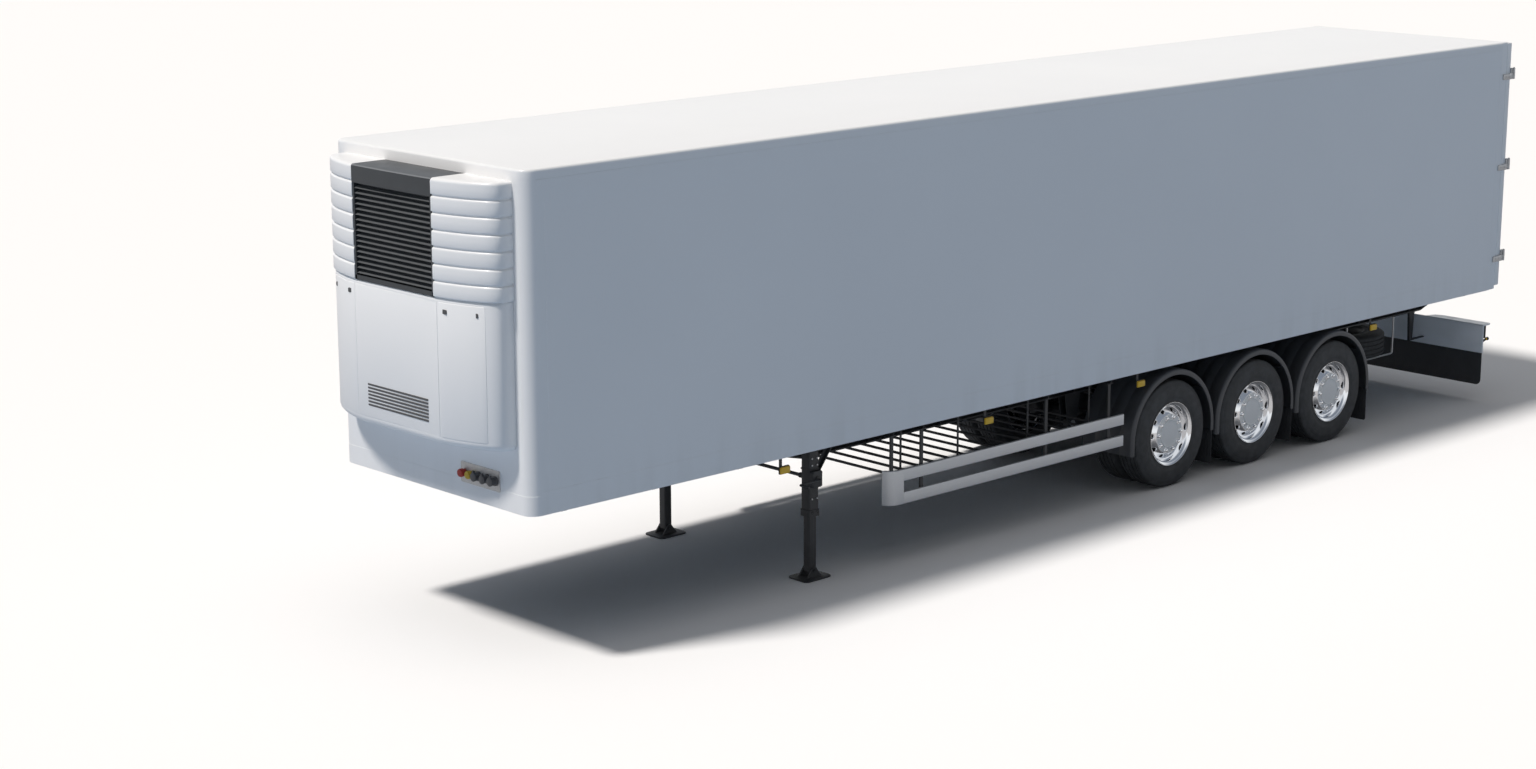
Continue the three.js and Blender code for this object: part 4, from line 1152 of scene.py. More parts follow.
def buildLockRods(bm):
    x, r = lock["x"], lock["radius"]
    for y in lock["rows"]:
        addPin(bm, x, y, "z", lock["low"], lock["high"], r, 16)
        for z, up in ((lock["low"], 1), (lock["high"], -1)):
            addPin(bm, x, y, "z", z, z + up * 0.045, r + 0.0004, 16)
            low, high = sorted((z, z + up * 0.022))
            addPlate(bm, y - 0.012, y + 0.034, low, high, 0.008, "x", x - 0.0130, x + 0.012)


def buildLockFittings(bm):
    rod, base, (first, last) = lock["x"], doorFace - 0.003, lock["rows"]
    for y in lock["rows"]:
        over = [(rod - 0.0135 * sin(a), y - 0.0185 * cos(a)) for a in angles(pi, 10)]
        for z in lock["guides"]:
            addPad(bm, y, z, 0.038, 0.027, 0.010, "x", doorFace - 0.0062, doorFace - 0.0005)
            addExtrusion(bm, [(base, y - 0.021)] + over + [(base, y + 0.021)], "z", z - 0.020, z + 0.020)
            for side in (-0.029, 0.029):
                addPin(bm, y + side, z, "x", doorFace - 0.006, doorFace - 0.0115, 0.0062, 8)
    low, high = lock["handle"] - 0.070, lock["handle"] + 0.070
    addPlate(bm, first - 0.060, last + 0.060, low, high, 0.02, "x", doorFace - 0.0035, doorFace - 0.0004)


# One hub, lever and catch for each rod.
def buildHandles(bm):
    x, z = lock["x"], lock["handle"]
    for y in lock["rows"]:
        addPad(bm, y, z, 0.024, 0.040, 0.010, "x", doorFace - 0.0355, doorFace - 0.007)
        path = [(x - 0.004, y, z), (x - 0.007, y + 0.08, z), (x - 0.007, y + 0.40, z - 0.006)]
        addTube(bm, path, 0.0072, 10, 0.03)
        addPlate(bm, y + 0.26, y + 0.425, z - 0.0155, z + 0.0045, 0.009, "x", x - 0.0135, x - 0.001)
    low, high = doorFace - 0.013, doorFace - 0.0035
    for y in (lock["rows"][0] + 0.34, lock["rows"][1] + 0.05):
        addPlate(bm, y - 0.020, y + 0.020, z - 0.045, z + 0.038, 0.006, "x", low, high)


def buildKeepers(bm):
    x = doorFace - 0.034
    outline = roundedOutline(x, x + 0.040, boxLow + 0.001, boxLow + 0.0235, 0.004)
    for y in lock["rows"]:
        for wall in (y - 0.026, y + 0.026):
            addExtrusion(bm, outline, "y", wall - 0.004, wall + 0.004)
        addBox(bm, (x, y - 0.030, boxLow + 0.0005), (frameBack + 0.004, y + 0.030, boxLow + 0.007))


single("rearFrameSkin", buildRearFrame, "panel", ["rear_frame"], smooth=30)
piecePair("hingeArms", buildHingeArms, "zinc")
piecePair("doorSkin", buildDoorPanel, "panel", "rear_door", ["door"], smooth=30)
piecePair("doorLining", buildDoorPlug, "lining", "rear_door", smooth=30)
piecePair("doorGasket", buildDoorGasket, "gasket", "rear_door")
piecePair("hingeStraps", buildHingeStraps, "zinc", "rear_door")
piecePair("lockRods", buildLockRods, "zinc", "rear_door", ["lock_rods"])
piecePair("lockFittings", buildLockFittings, "zinc", "rear_door", smooth=30)
piecePair("lockHandles", buildHandles, "zinc", "rear_door", smooth=30, bevel=0.001)
piecePair("lockKeepers", buildKeepers, "zinc")
print("rear doors ready")


# Landing legs.
leg = {"x": 3.3715, "y": 0.95, "half": 0.055, "top": 1.177, "tubeLow": 0.560, "shaft": 0.900}
foot = {"halfLong": 0.160, "halfWide": 0.125, "corner": 0.045, "pin": 0.075, "pinRadius": 0.014}
brace = {"low": 0.860, "high": 0.930, "back": 0.235}
legX, legY, legTop = leg["x"], leg["y"], leg["top"]
legSide = legY + leg["half"]


def buildLeg(bm):
    half, low = leg["half"], leg["tubeLow"]
    for along, across, radius, start, stop in (
        (half, half, 0.014, low, legTop), (half + 0.008, half + 0.008, 0.018, low, low + 0.060),
        (0.041, 0.041, 0.010, 0.060, low + 0.01), (0.100, 0.080, 0.012, legTop - 0.012, legTop),
        (0.060, 0.060, 0.01, legTop - 0.20, legTop - 0.19),
    ):
        addPad(bm, legX, legY, along, across, radius, "z", start, stop)


def buildFoot(bm):
    pin = foot["pin"]
    plan = roundedPad(legX, legY, foot["halfLong"], foot["halfWide"], foot["corner"])
    edge = [(x - (x - legX) * 0.03, y - (y - legY) * 0.03) for x, y in plan]
    rows = ((edge, 0.0), (plan, 0.003), (plan, 0.013), (edge, 0.016))
    addLoft(bm, [[(x, y, z) for x, y in outline] for outline, z in rows])
    for low, high in bothSides(legY, 0.046, 0.060):
        lug = [(legX - 0.085, 0.015), (legX + 0.085, 0.015)] + arcPoints(legX, pin, 0.030, 20, 160, 8)
        addExtrusion(bm, lug, "y", low, high)
    addPin(bm, legX, pin, "y", legY - 0.074, legY + 0.074, foot["pinRadius"], 12)


def buildBrace(bm):
    ahead, behind, low = legX - leg["half"] + 0.004, legX - leg["half"] - brace["back"], brace["low"]
    web = [(ahead, low), (ahead, brace["high"]), (behind + 0.060, legTop), (behind, legTop)]
    flange = [(ahead, low + 0.006), (ahead, low + 0.012), (behind + 0.012, legTop), (behind, legTop)]
    addExtrusion(bm, web, "y", legY - 0.022, legY - 0.016)
    addExtrusion(bm, flange, "y", legY - 0.020, legY + 0.016)


def buildLegBolts(bm):
    for along in (-0.085, 0.085):
        for across in (-0.062, 0.062):
            addPin(bm, legX + along, legY + across, "z", legTop - 0.013, legTop - 0.024, 0.010)
    for z in (0.60, 0.72, 1.02, 1.08):
        for x in (legX - 0.03, legX + 0.03):
            addPin(bm, x, z, "y", legSide - 0.001, legSide + 0.008, 0.008)


def buildGearbox(bm):
    y, z = legSide, leg["shaft"]
    outline = roundedPad(legX, z, 0.060, 0.075, 0.022, 6)
    rows = [(y - 0.004, 0), (y + 0.034, 0), (y + 0.040, 0.003), (y + 0.042, 0.008)]
    addStack(bm, outline, "y", rows, sheared=True)
    boss = [(0.030, y + 0.040), (0.028, y + 0.050), (0.016, y + 0.052), (0.0, y + 0.052)]
    addTurned(bm, boss, 24, (legX, 0, z))
    for along, up in ((-0.045, -0.058), (0.045, -0.058), (-0.045, 0.058), (0.045, 0.058)):
        addPin(bm, legX + along, z + up, "y", y + 0.038, y + 0.048, 0.0065)


# The crank's shaft, its flat arm folded back along the trailer, and the turned grip.
def buildCrank(bm):
    x, y, z, r = legX, legSide, leg["shaft"], 0.0115
    out, end = y + 0.085, x + 0.248
    addTube(bm, [(x, y + 0.045, z), (x, out, z), (x + 0.245, out, z)], r, 14, 0.018, 6)
    addTube(bm, [(x + 0.240, out, z), (end, out, z), (end, y + 0.120, z)], r, 14, 0.006, 6)
    grip = [(0.0, 0.105), (0.011, 0.105), (0.0138, 0.112), (0.0125, 0.145), (0.0140, 0.180), (0.010, 0.1895)]
    grip += [(0.0, 0.190)]
    addTurned(bm, [(radius, y + along) for radius, along in grip], 20, (end, 0, z))


def buildCrossShaft(bm):
    z, inner = leg["shaft"], legY - leg["half"] + 0.002
    addPin(bm, legX, z, "y", -inner, inner, 0.0155, 16)
    for side in (-1, 1):
        addPin(bm, legX, z, "y", side * (inner - 0.07), side * (inner - 0.01), 0.024, 16)


piecePair("landingLegTube", buildLeg, "frame", replaced=["landing_leg"])
piecePair("landingFoot", buildFoot, "frame", smooth=30)
piecePair("landingBrace", buildBrace, "frame")
piecePair("landingBolts", buildLegBolts, "zinc")
single("landingGearbox", buildGearbox, "frame", smooth=30)
single("landingCrank", buildCrank, "frame")
single("landingShaft", buildCrossShaft, "frame")
print("landing legs ready")


# Running gear under the box.
gear = {"back": 0.335, "y": 0.49, "low": 0.642, "high": 0.9395, "radius": 0.1235, "lobes": 2}
gearY, springLow, springHigh = gear["y"], gear["low"], gear["high"]


def buildBellows(bm, hubX):
    r, low, high, lobes = gear["radius"], springLow, springHigh, gear["lobes"]
    rows = [(0.0, low - 0.012), (0.088, low - 0.012), (0.092, low - 0.004), (0.095, low + 0.008)]
    for lobe in range(lobes):
        for a in [pi * (i + 0.001) / 12 for i in range(13)]:
            up = (high - low - 0.028) * (lobe + (1 - cos(a)) / 2) / lobes
            rows.append((r - 0.026 + 0.028 * sin(a), low + 0.012 + up))
    rows += [(0.095, high - 0.010), (0.092, high - 0.0006), (0.0, high - 0.0006)]
    addTurned(bm, rows, 40, (hubX - gear["back"], gearY, 0), upright=True)


def buildSpringPlates(bm, hubX):
    x, low = hubX - gear["back"], springLow
    for start, stop in ((springHigh - 0.009, springHigh - 0.0004), (low - 0.018, low - 0.010)):
        addPad(bm, x, gearY, 0.10, 0.075, 0.02, "z", start, stop)
    girdle = [(0.0975, low + 0.139), (0.1005, low + 0.143), (0.1005, low + 0.150), (0.0975, low + 0.154)]
    addTurned(bm, girdle, 40, (x, gearY, 0), upright=True)


# U-bolts clamp each arm to its axle.
def buildClamps(bm, hubX):
    z = axleHeight
    for x in (hubX - 0.052, hubX + 0.052):
        for y in (gearY - 0.062, gearY + 0.062):
            addPin(bm, x, y, "z", z - 0.085, z + 0.182, 0.0105, 10)
            addPin(bm, x, y, "z", z + 0.152, z + 0.170, 0.018)
        addPin(bm, x, z - 0.080, "y", gearY - 0.062, gearY + 0.062, 0.0105, 10)
    addPad(bm, hubX, gearY, 0.085, 0.085, 0.012, "z", z + 0.1495, z + 0.155)
    addPad(bm, hubX, gearY, 0.07, 0.078, 0.01, "z", z - 0.078, z - 0.060)


brake = {"ahead": 0.085, "y": 0.335, "up": 0.045, "shaftUp": 0.085, "shaftEnd": 0.60}


# Brake chamber ahead of the axle, its clamp band, pushrod and slack adjuster.
def buildBrake(bm, hubX):
    x, y, z, high = hubX + brake["ahead"], brake["y"], axleHeight + brake["up"], axleHeight + brake["shaftUp"]
    rows = [(0.0, 0.0), (0.050, 0.0), (0.072, 0.012), (0.078, 0.050), (0.0865, 0.055), (0.0865, 0.068)]
    rows += [(0.078, 0.073), (0.078, 0.105), (0.0865, 0.110), (0.0865, 0.123), (0.078, 0.128), (0.074, 0.175)]
    addLathe(bm, [(r, x + along) for r, along in rows + [(0.055, 0.195), (0.0, 0.198)]], y, z, 28)
    addPin(bm, y, z, "x", x + 0.002, hubX + 0.005, 0.009, 10)
    addPin(bm, hubX, high, "y", y - 0.10, brake["shaftEnd"], 0.017, 12)
    adjuster = arcPoints(hubX, high, 0.032, 20, 250, 8)
    adjuster += arcPoints(hubX + 0.005, axleHeight + 0.020, 0.016, 250, 380, 6)
    addExtrusion(bm, adjuster, "y", y - 0.012, y + 0.012)
    addBox(bm, (hubX + 0.02, y - 0.035, axleHeight + 0.02), (x + 0.006, y + 0.035, axleHeight + 0.028))


shock = {
    "y": 0.385, "lowBack": 0.10, "highBack": 0.285, "lowUp": 0.06, "high": 0.93,
    "rod": 0.012, "body": 0.031, "sleeve": 0.037, "eye": 0.021,
}


def buildShock(bm, hubX):
    low = Vector((hubX - shock["lowBack"], shock["y"], axleHeight + shock["lowUp"]))
    high = Vector((hubX - shock["highBack"], shock["y"], shock["high"]))
    along = (high - low).normalized()
    addTube(bm, [low, high], shock["rod"], 12)
    addTube(bm, [low + along * 0.035, low + along * 0.24], shock["body"], 20)
    addTube(bm, [low + along * 0.19, high - along * 0.03], shock["sleeve"], 20)
    for end in (low, high):
        addTube(bm, [end + Vector((0, -0.03, 0)), end + Vector((0, 0.04, 0))], shock["eye"], 14)


def atEachAxle(build):
    return lambda bm: [build(bm, hubX) for hubX in axleXs]


# Stiffener plates stand in the web of each beam.
stiffener = {"ys": (0.427, 0.506), "wide": 0.047, "low": 0.958, "high": 1.156, "count": 10, "pitch": 0.95}


def buildStiffeners(bm):
    first, wide, low, high = beamLow.x + 0.40, stiffener["wide"], stiffener["low"], stiffener["high"]

    def plates(seed):
        for y in stiffener["ys"]:
            side = [(y, low), (y + wide, low), (y + wide, high), (y, high)]
            addExtrusion(seed, side, "x", first, first + 0.008)

    addRow(bm, plates, "frame", stiffener["count"], (stiffener["pitch"], 0, 0))


# Three runs, each at (y, z) with its radius, held by clips.
pipes = {
    "runs": ((0.585, 1.118, 0.008), (0.603, 1.118, 0.006), (0.585, 1.100, 0.005)), "front": 5.9,
    "clip": (0.562, 0.614, 1.090, 1.130), "clips": 13, "pitch": 0.95,
}


def buildPipes(bm):
    for y, z, r in pipes["runs"]:
        addPin(bm, y, z, "x", beamLow.x + 0.5, pipes["front"], r, 8)
    clip = (*pipes["clip"], 0.006, "x", beamLow.x + 0.7, beamLow.x + 0.712)
    addRow(bm, lambda seed: addPlate(seed, *clip), "frame", pipes["clips"], (pipes["pitch"], 0, 0))


# Cross members join the beams, one of them ahead of each axle.
member = {
    "half": 0.484, "low": 0.966, "high": 1.150,
    "rear": 0.62, "ahead": 0.66, "xs": (-0.60, 1.45, 2.55, 3.62, 4.10),
}


def buildCrossMembers(bm):
    half, low, high = member["half"], member["low"], member["high"]
    for x in (beamLow.x + member["rear"], *(hubX + member["ahead"] for hubX in axleXs[::-1]), *member["xs"]):
        web = [(x - 0.0035, low + 0.006), (x + 0.0035, low + 0.006), (x + 0.0035, high), (x - 0.0035, high)]
        addExtrusion(bm, web, "y", -half, half)
        for z in (low, high):
            addBox(bm, (x - 0.035, -half, z), (x + 0.035, half, z + 0.006))


for label, build, look in (
    ("airBellows", buildBellows, "gasket"), ("springPlates", buildSpringPlates, "zinc"),
    ("axleClamps", buildClamps, "zinc"), ("brakeChamber", buildBrake, "frame"),
    ("shockAbsorber", buildShock, "frame"),
):
    piecePair(label, atEachAxle(build), look, smooth=40)
piecePair("beamStiffeners", buildStiffeners, "frame")
piecePair("airPipes", buildPipes, "plastic")
single("crossMembers", buildCrossMembers, "frame")
print("running gear ready")


# Air tank.
tankLow, tankHigh = span("air_tank")
tank = {"y": 0.25, "z": 0.945, "radius": 0.1225, "strapAt": (0.16, 0.54)}


def buildTank(bm):
    r = tank["radius"]
    ends = [(0.035, 0.0015), (0.070, 0.008), (0.098, 0.020), (0.115, 0.034), (r, 0.052), (r, 0.062)]
    ends += [(r - 0.002, 0.064), (r - 0.002, 0.068), (r, 0.070)]
    rows = [(radius, tankLow.x + 0.001 + along) for radius, along in ends]
    rows += [(radius, tankHigh.x - 0.001 - along) for radius, along in ends[::-1]]
    addLathe(bm, rows, tank["y"], tank["z"], 48)


def buildTankFittings(bm):
    y, z, r = tank["y"], tank["z"], tank["radius"]
    strap = arcPoints(y, z, r + 0.0006, -200, 20, 24) + arcPoints(y, z, r + 0.003, -200, 20, 24)[::-1]
    for share in tank["strapAt"]:
        x = tankLow.x + share
        addExtrusion(bm, strap, "x", x - 0.020, x + 0.020)
        for side in (y - (r - 0.001), y + (r - 0.001)):
            addBox(bm, (x - 0.020, side - 0.002, z), (x + 0.020, side + 0.002, tankHigh.z))
        addBox(bm, (x - 0.025, y - r, tankHigh.z - 0.006), (x + 0.025, y + r, tankHigh.z))
    addPin(bm, tankLow.x + 0.35, y, "z", z - r + 0.004, z - r + 0.0008, 0.016, 12)
    for x, out in ((tankLow.x, 0.012), (tankHigh.x, -0.012)):
        addPin(bm, y, z, "x", x + out, x + out * 0.05, 0.022)


single("airTankShell", buildTank, "frame", ["air_tank"])
single("airTankStraps", buildTankFittings, "zinc")


# Pallet rack.
rackLow, rackHigh = span("pallet_rack")
rack = {
    "bars": 15, "thick": 0.022, "rail": 0.036, "hangers": (rackLow.x + 0.15, 0.6815, 1.6315, rackHigh.x - 0.10),
}


def buildRack(bm):
    x, z, thick, rail, half = rackLow.x, rackLow.z, rack["thick"], rack["rail"], rackHigh.y
    step = ((rackHigh.x - x - thick) / (rack["bars"] - 1), 0, 0)
    bar = (x, x + thick, z, z + thick, 0.0045, "y", -half + 0.02, half - 0.02, 3)
    addRow(bm, lambda seed: addPlate(seed, *bar), "frame", rack["bars"], step)
    for low, high in ((half - rail, half), (-half, -half + rail), (-0.018, 0.018)):
        addPlate(bm, low, high, z, z + thick, 0.003, "x", x, rackHigh.x, 2)


def buildRackHangers(bm):
    y, low, high = rackHigh.y - 0.020, rackLow.z, rackHigh.z
    for x in rack["hangers"]:
        addBox(bm, (x - 0.011, y - 0.004, low + 0.016), (x + 0.011, y + 0.004, high - 0.0005))
        addBox(bm, (x - 0.022, y - 0.045, high - 0.0065), (x + 0.022, y + 0.004, high - 0.0005))
        for z in (low + 0.30, high - 0.03):
            addPin(bm, x, z, "y", y + 0.003, y + 0.009, 0.006)


single("palletRackGrid", buildRack, "frame", ["pallet_rack"])
piecePair("rackHangers", buildRackHangers, "frame", bevel=0.001)
print("tank and rack ready")


# Side markers.
marker = {
    "xs": (3.9055, 1.3435, -0.8245, -4.6735), "y": 1.186, "z": 1.108, "halfLong": 0.055, "halfTall": 0.031,
}


def buildMarkerLens(bm):
    y, z = marker["y"], marker["z"]
    rows = [(y, 0.0), (y + 0.014, 0.0), (y + 0.019, 0.002), (y + 0.022, 0.006)]
    for x in marker["xs"]:
        outline = roundedPad(x, z, marker["halfLong"], marker["halfTall"], 0.010, 5)
        addStack(bm, outline, "y", rows, sheared=True)


def buildMarkerBases(bm):
    y, z = marker["y"], marker["z"]
    for x in marker["xs"]:
        addPlate(bm, x - 0.059, x + 0.059, z - 0.034, z + 0.036, 0.011, "y", y - 0.008, y + 0.004, 5)
        addBox(bm, (x + 0.018, y - 0.014, z - 0.015), (x + 0.050, y - 0.0075, 1.2300))


piecePair("markerLenses", buildMarkerLens, "amber")
piecePair("markerBases", buildMarkerBases, "frame")


# Lamp board and mud curtain.
boardLow, boardHigh = span("lamp_board")
board = {"plate": 0.020, "top": 0.845, "hoodFrom": 0.520, "hood": 0.160}
boardX = boardHigh.x - board["plate"]
mountX = boardX + 0.001


def buildBoard(bm):
    outline = roundedOutline(-boardHigh.y, boardHigh.y, boardLow.z, board["top"], 0.010)
    addStack(bm, outline, "x", easedRows(boardHigh.x, boardX, (0, 0.002), (0.002, 0)))


def buildHood(bm):
    x, y, inner, end = boardHigh.x, boardHigh.y, board["hoodFrom"], boardHigh.x - board["hood"]
    plan = [(x, inner - 0.01), (x, y)] + arcPoints(end + 0.03, y - 0.03, 0.03, 90, 180, 6)
    plan += [(end, inner + 0.10), (end + 0.03, inner + 0.03)]
    rows = easedRows(board["top"] - 0.013, boardHigh.z, (0, 0.004), (0.003, 0.001), (0.007, 0))
    addStack(bm, plan, "z", rows)


lamps = {
    "y": 0.90, "z": 0.705, "wide": 0.44, "tall": 0.150,
    "parts": (("red", 0.0, 0.42), ("amber", 0.42, 0.66), ("clear", 0.66, 0.82), ("red", 0.82, 1.0)),
}


def buildLampHousing(bm):
    y, z, half = lamps["y"], lamps["z"], lamps["wide"] / 2
    addPad(bm, y, z, half, lamps["tall"] / 2, 0.018, "x", boardX - 0.030, mountX, 5)
    addPad(bm, y, z, half + 0.012, 0.087, 0.024, "x", boardX - 0.006, mountX, 5)


def lampLens(kind):
    def build(bm):
        low, width, z = lamps["y"] - lamps["wide"] / 2 + 0.008, lamps["wide"] - 0.016, lamps["z"]
        rows = [(boardX - 0.0295, 0), (boardX - 0.037, 0), (boardX - 0.0405, 0.002), (boardX - 0.042, 0.006)]
        for look, start, stop in lamps["parts"]:
            if look == kind:
                first, last = low + width * start + 0.002, low + width * stop - 0.002
                addStack(bm, roundedOutline(first, last, z - 0.066, z + 0.066, 0.012, 5), "x", rows)

    return build


# The blank plate between the lamps as (left, right, low, high), a lamp over each end of it, and reflectors.
plateSet = {
    "holder": (-0.285, 0.285, 0.615, 0.765), "plate": (-0.262, 0.262, 0.632, 0.748),
    "lampYs": (-0.235, 0.235), "lampLow": 0.772, "lampHigh": 0.800,
    "reflectorYs": (0.42, 1.185), "reflectorZ": 0.590,
}


def buildPlateHolder(bm):
    low, high = plateSet["lampLow"], plateSet["lampHigh"]
    addPlate(bm, *plateSet["holder"], 0.008, "x", boardX - 0.006, mountX)
    for y in plateSet["lampYs"]:
        addPlate(bm, y - 0.045, y + 0.045, low, high, 0.008, "x", boardX - 0.035, mountX)


def buildBlankPlate(bm):
    addPlate(bm, *plateSet["plate"], 0.010, "x", boardX - 0.009, boardX - 0.0058)


def buildRearReflectors(bm):
    rows = [(0.024, boardX - 0.0095), (0.030, boardX - 0.007), (0.031, mountX)]
    for y in plateSet["reflectorYs"]:
        addLathe(bm, rows, y, plateSet["reflectorZ"], 24)


# A rubber arm at each end holds a small lamp out to the side.
endLamp = {"x": boardX - 0.115, "y": 1.212, "z": 0.665}


def addEndLampPart(bm, rows):
    addLathe(bm, rows, endLamp["y"] + 0.012, endLamp["z"] + 0.008, 20)


def buildLampArm(bm):
    x, y, z = endLamp["x"], endLamp["y"], endLamp["z"]
    addPlate(bm, x + 0.03, x + 0.065, y - 0.012, y + 0.012, 0.006, "z", z + 0.02, board["top"] - 0.014)
    path = [(boardX + 0.002, y - 0.02, z - 0.045), (x + 0.05, y, z - 0.01), (x + 0.002, y + 0.004, z + 0.006)]
    addTube(bm, path, 0.012, 12, 0.02)
    addEndLampPart(bm, [(0.014, x + 0.020), (0.019, x + 0.010), (0.019, x - 0.006), (0.017, x - 0.010)])


# The amber lens looks ahead and the red one behind.
def endLens(offset, way):
    x = endLamp["x"] + offset
    rows = [(r, x + way * out) for r, out in ((0.014, 0.0), (0.0135, 0.004), (0.010, 0.007), (0.004, 0.0085))]
    return lambda bm: addEndLampPart(bm, rows)


single("lampBoardPlate", buildBoard, "board", ["lamp_board"])
piecePair("lampBoardHood", buildHood, "panel")
piecePair("lampHousing", buildLampHousing, "plastic", bevel=0.002)
for kind in ("red", "amber", "clear"):
    piecePair(f"rearLens{kind.capitalize()}", lampLens(kind), kind)
single("plateHolder", buildPlateHolder, "plastic", bevel=0.002)
single("blankPlate", buildBlankPlate, "panel", bevel=0.0008)
piecePair("rearReflectors", buildRearReflectors, "red")
piecePair("endLampArm", buildLampArm, "gasket")
piecePair("endLampAmber", endLens(0.0195, 1), "amber")
piecePair("endLampRed", endLens(-0.0105, -1), "red")

curtainLow, curtainHigh = span("mud_curtain")
curtain = {"corner": 0.06, "ribs": 96, "bolts": 10}


def buildCurtain(bm):
    half, low, high, r = curtainHigh.y, curtainLow.z, curtainHigh.z, curtain["corner"]
    outline = [(-half, high)] + arcPoints(-half + r, low + r, r, 180, 270, 8)
    outline += arcPoints(half - r, low + r, r, 270, 360, 8) + [(half, high)]
    addExtrusion(bm, outline, "x", curtainLow.x + 0.002, curtainHigh.x - 0.002)
    y = -half + 0.08

    def ribs(seed):
        for x, out in ((curtainHigh.x - 0.0022, 0.0018), (curtainLow.x + 0.0022, -0.0018)):
            section = [(x, y - 0.004), (x + out, y - 0.0015), (x + out, y + 0.0015), (x, y + 0.004)]
            addExtrusion(seed, section, "z", low + 0.022, high - 0.05)

    addRow(bm, ribs, "flap", curtain["ribs"], (0, (2 * half - 0.16) / (curtain["ribs"] - 1), 0))


def buildCurtainClamp(bm):
    x, z, half = curtainLow.x, boardLow.z, curtainHigh.y
    addBox(bm, (x - 0.0035, -half + 0.01, z + 0.012), (x + 0.0005, half - 0.01, z + 0.045))
    place = (-half + 0.06, z + 0.028, "x", x - 0.003, x - 0.010, 0.009)
    step = (2 * half - 0.12) / (curtain["bolts"] - 1)
    addRow(bm, lambda seed: addPin(seed, *place), "zinc", curtain["bolts"], (0, step, 0))


single("mudCurtainSkin", buildCurtain, "flap", ["mud_curtain"])
single("curtainClamp", buildCurtainClamp, "zinc")
print("lamp board ready")


# Beams and floor bearers.
under = {
    "web": 0.012, "plate": 0.016, "flange": 0.070, "y": 0.490, "post": -6.440, "pivot": 0.700,
    "neck": 1.110, "low": 0.940, "bend": (3.7815, 3.0815), "rearBend": -6.5185, "rearLow": 1.000,
}
bearer = {
    "xs": (6.2315, 5.2815, 4.3315, 3.3715, 2.5915, 2.2095, 1.3705, 0.5315, -0.3735,
           -1.3035, -1.9635, -2.6235, -3.2835, -3.9435, -4.8310, -5.7185, -6.5185),
    "long": (4, 5, 7, 8), "longReach": 1.203, "reach": 1.100, "half": 0.030, "plate": 0.006,
}


# The beam hangs plates beside each arm's pivot, and a slim post for the lamp board.
def buildBeam(bm):
    y, half, flange, top = under["y"], under["web"] / 2, under["flange"], beamHigh.z
    neck, low, (first, second) = under["neck"], under["low"], under["bend"]
    line = [(beamHigh.x, neck), (first, neck), (second, low), (under["rearBend"], low)]
    line.append((beamLow.x, under["rearLow"]))
    addExtrusion(bm, [(beamLow.x, top), (beamHigh.x, top)] + line, "y", y - half, y + half)
    addBox(bm, (beamLow.x, y - flange, top - under["plate"]), (beamHigh.x, y + flange, top))
    addExtrusion(bm, line + [(x, z + under["plate"]) for x, z in line[::-1]], "y", y - flange, y + flange)
    hanger = [(0.110, 0.944), (0.062, 0.630), (0.040, 0.600), (0, 0.594)]
    hanger += [(-x, z) for x, z in hanger[2::-1]]
    for hubX in axleXs:
        outline = [(hubX + under["pivot"] + x, z) for x, z in hanger]
        for start, stop in bothSides(y, 0.0356, 0.0470):
            addExtrusion(bm, outline, "y", start, stop)
    post = [(0.080, 0.944), (0.046, 0.905), (0.028, 0.600), (-0.266, 0.602), (-0.266, 0.614)]
    post += [(-0.030, 0.622), (-0.048, 0.905), (-0.078, 0.944)]
    addExtrusion(bm, [(under["post"] + x, z) for x, z in post], "y", y - 0.014, y + 0.014)


# Bearers of I section, and a rail along each side of them.
def buildBearers(bm):
    low, high, half = bearerLow.z, bearerHigh.z, bearer["half"]
    footTop, headLow = low + bearer["plate"], high - bearer["plate"]
    side = [(half, low), (half, footTop), (0.003, footTop), (0.003, headLow), (half, headLow), (half, high)]
    section = [(-half, low)] + side + [(-off, z) for off, z in side[:0:-1]]
    for i, x in enumerate(bearer["xs"]):
        reach = bearer["longReach"] if i in bearer["long"] else bearer["reach"]
        addExtrusion(bm, [(x + off, z) for off, z in section], "y", -reach, reach)
    for start, stop in bothSides(0, bearer["reach"] + 0.002, bearer["reach"] + 0.042):
        addBox(bm, (bearerLow.x, start, high - 0.034), (bearerHigh.x, stop, high))


piecePair("beamSection", buildBeam, "frame", replaced=["beam"], bevel=0.002)
single("crossBearers", buildBearers, "frame", ["floor_bearers"])


# Axles.
axle = {"tube": 0.064, "reach": 0.617, "arm": 0.035, "plate": 0.185}


def buildAxle(bm, hubX):
    tube, reach, plate, hub = axle["tube"], axle["reach"], axle["plate"], (hubX, 0, axleHeight)
    addTurned(bm, [(0.0, -reach), (tube, -reach), (tube, reach), (0.0, reach)], 40, hub)
    rows = [(0.0, 0.560), (tube, 0.560), (0.085, 0.590), (0.092, 0.622), (plate - 0.012, 0.625), (plate, 0.629)]
    rows += [(plate, 0.640), (plate - 0.004, 0.6430), (0.0, 0.6430)]
    for side in (-1, 1):
        addTurned(bm, [(r, side * y) for r, y in rows], 48, hub)


def buildTrailingArm(bm, hubX):
    z = axleHeight
    outline = [(0.745, 0.148), (0.751, 0.108), (0.745, 0.073), (0.10, 0.056), (-0.09, 0.056), (-0.09, 0.084)]
    outline += [(-0.435, 0.085), (-0.435, 0.115), (-0.11, 0.150), (0.11, 0.150)]
    addExtrusion(bm, [(hubX + x, z + up) for x, up in outline], "y", gearY - axle["arm"], gearY + axle["arm"])
    addBox(bm, (hubX - 0.080, gearY - 0.050, z), (hubX + 0.080, gearY + 0.050, z + 0.094))


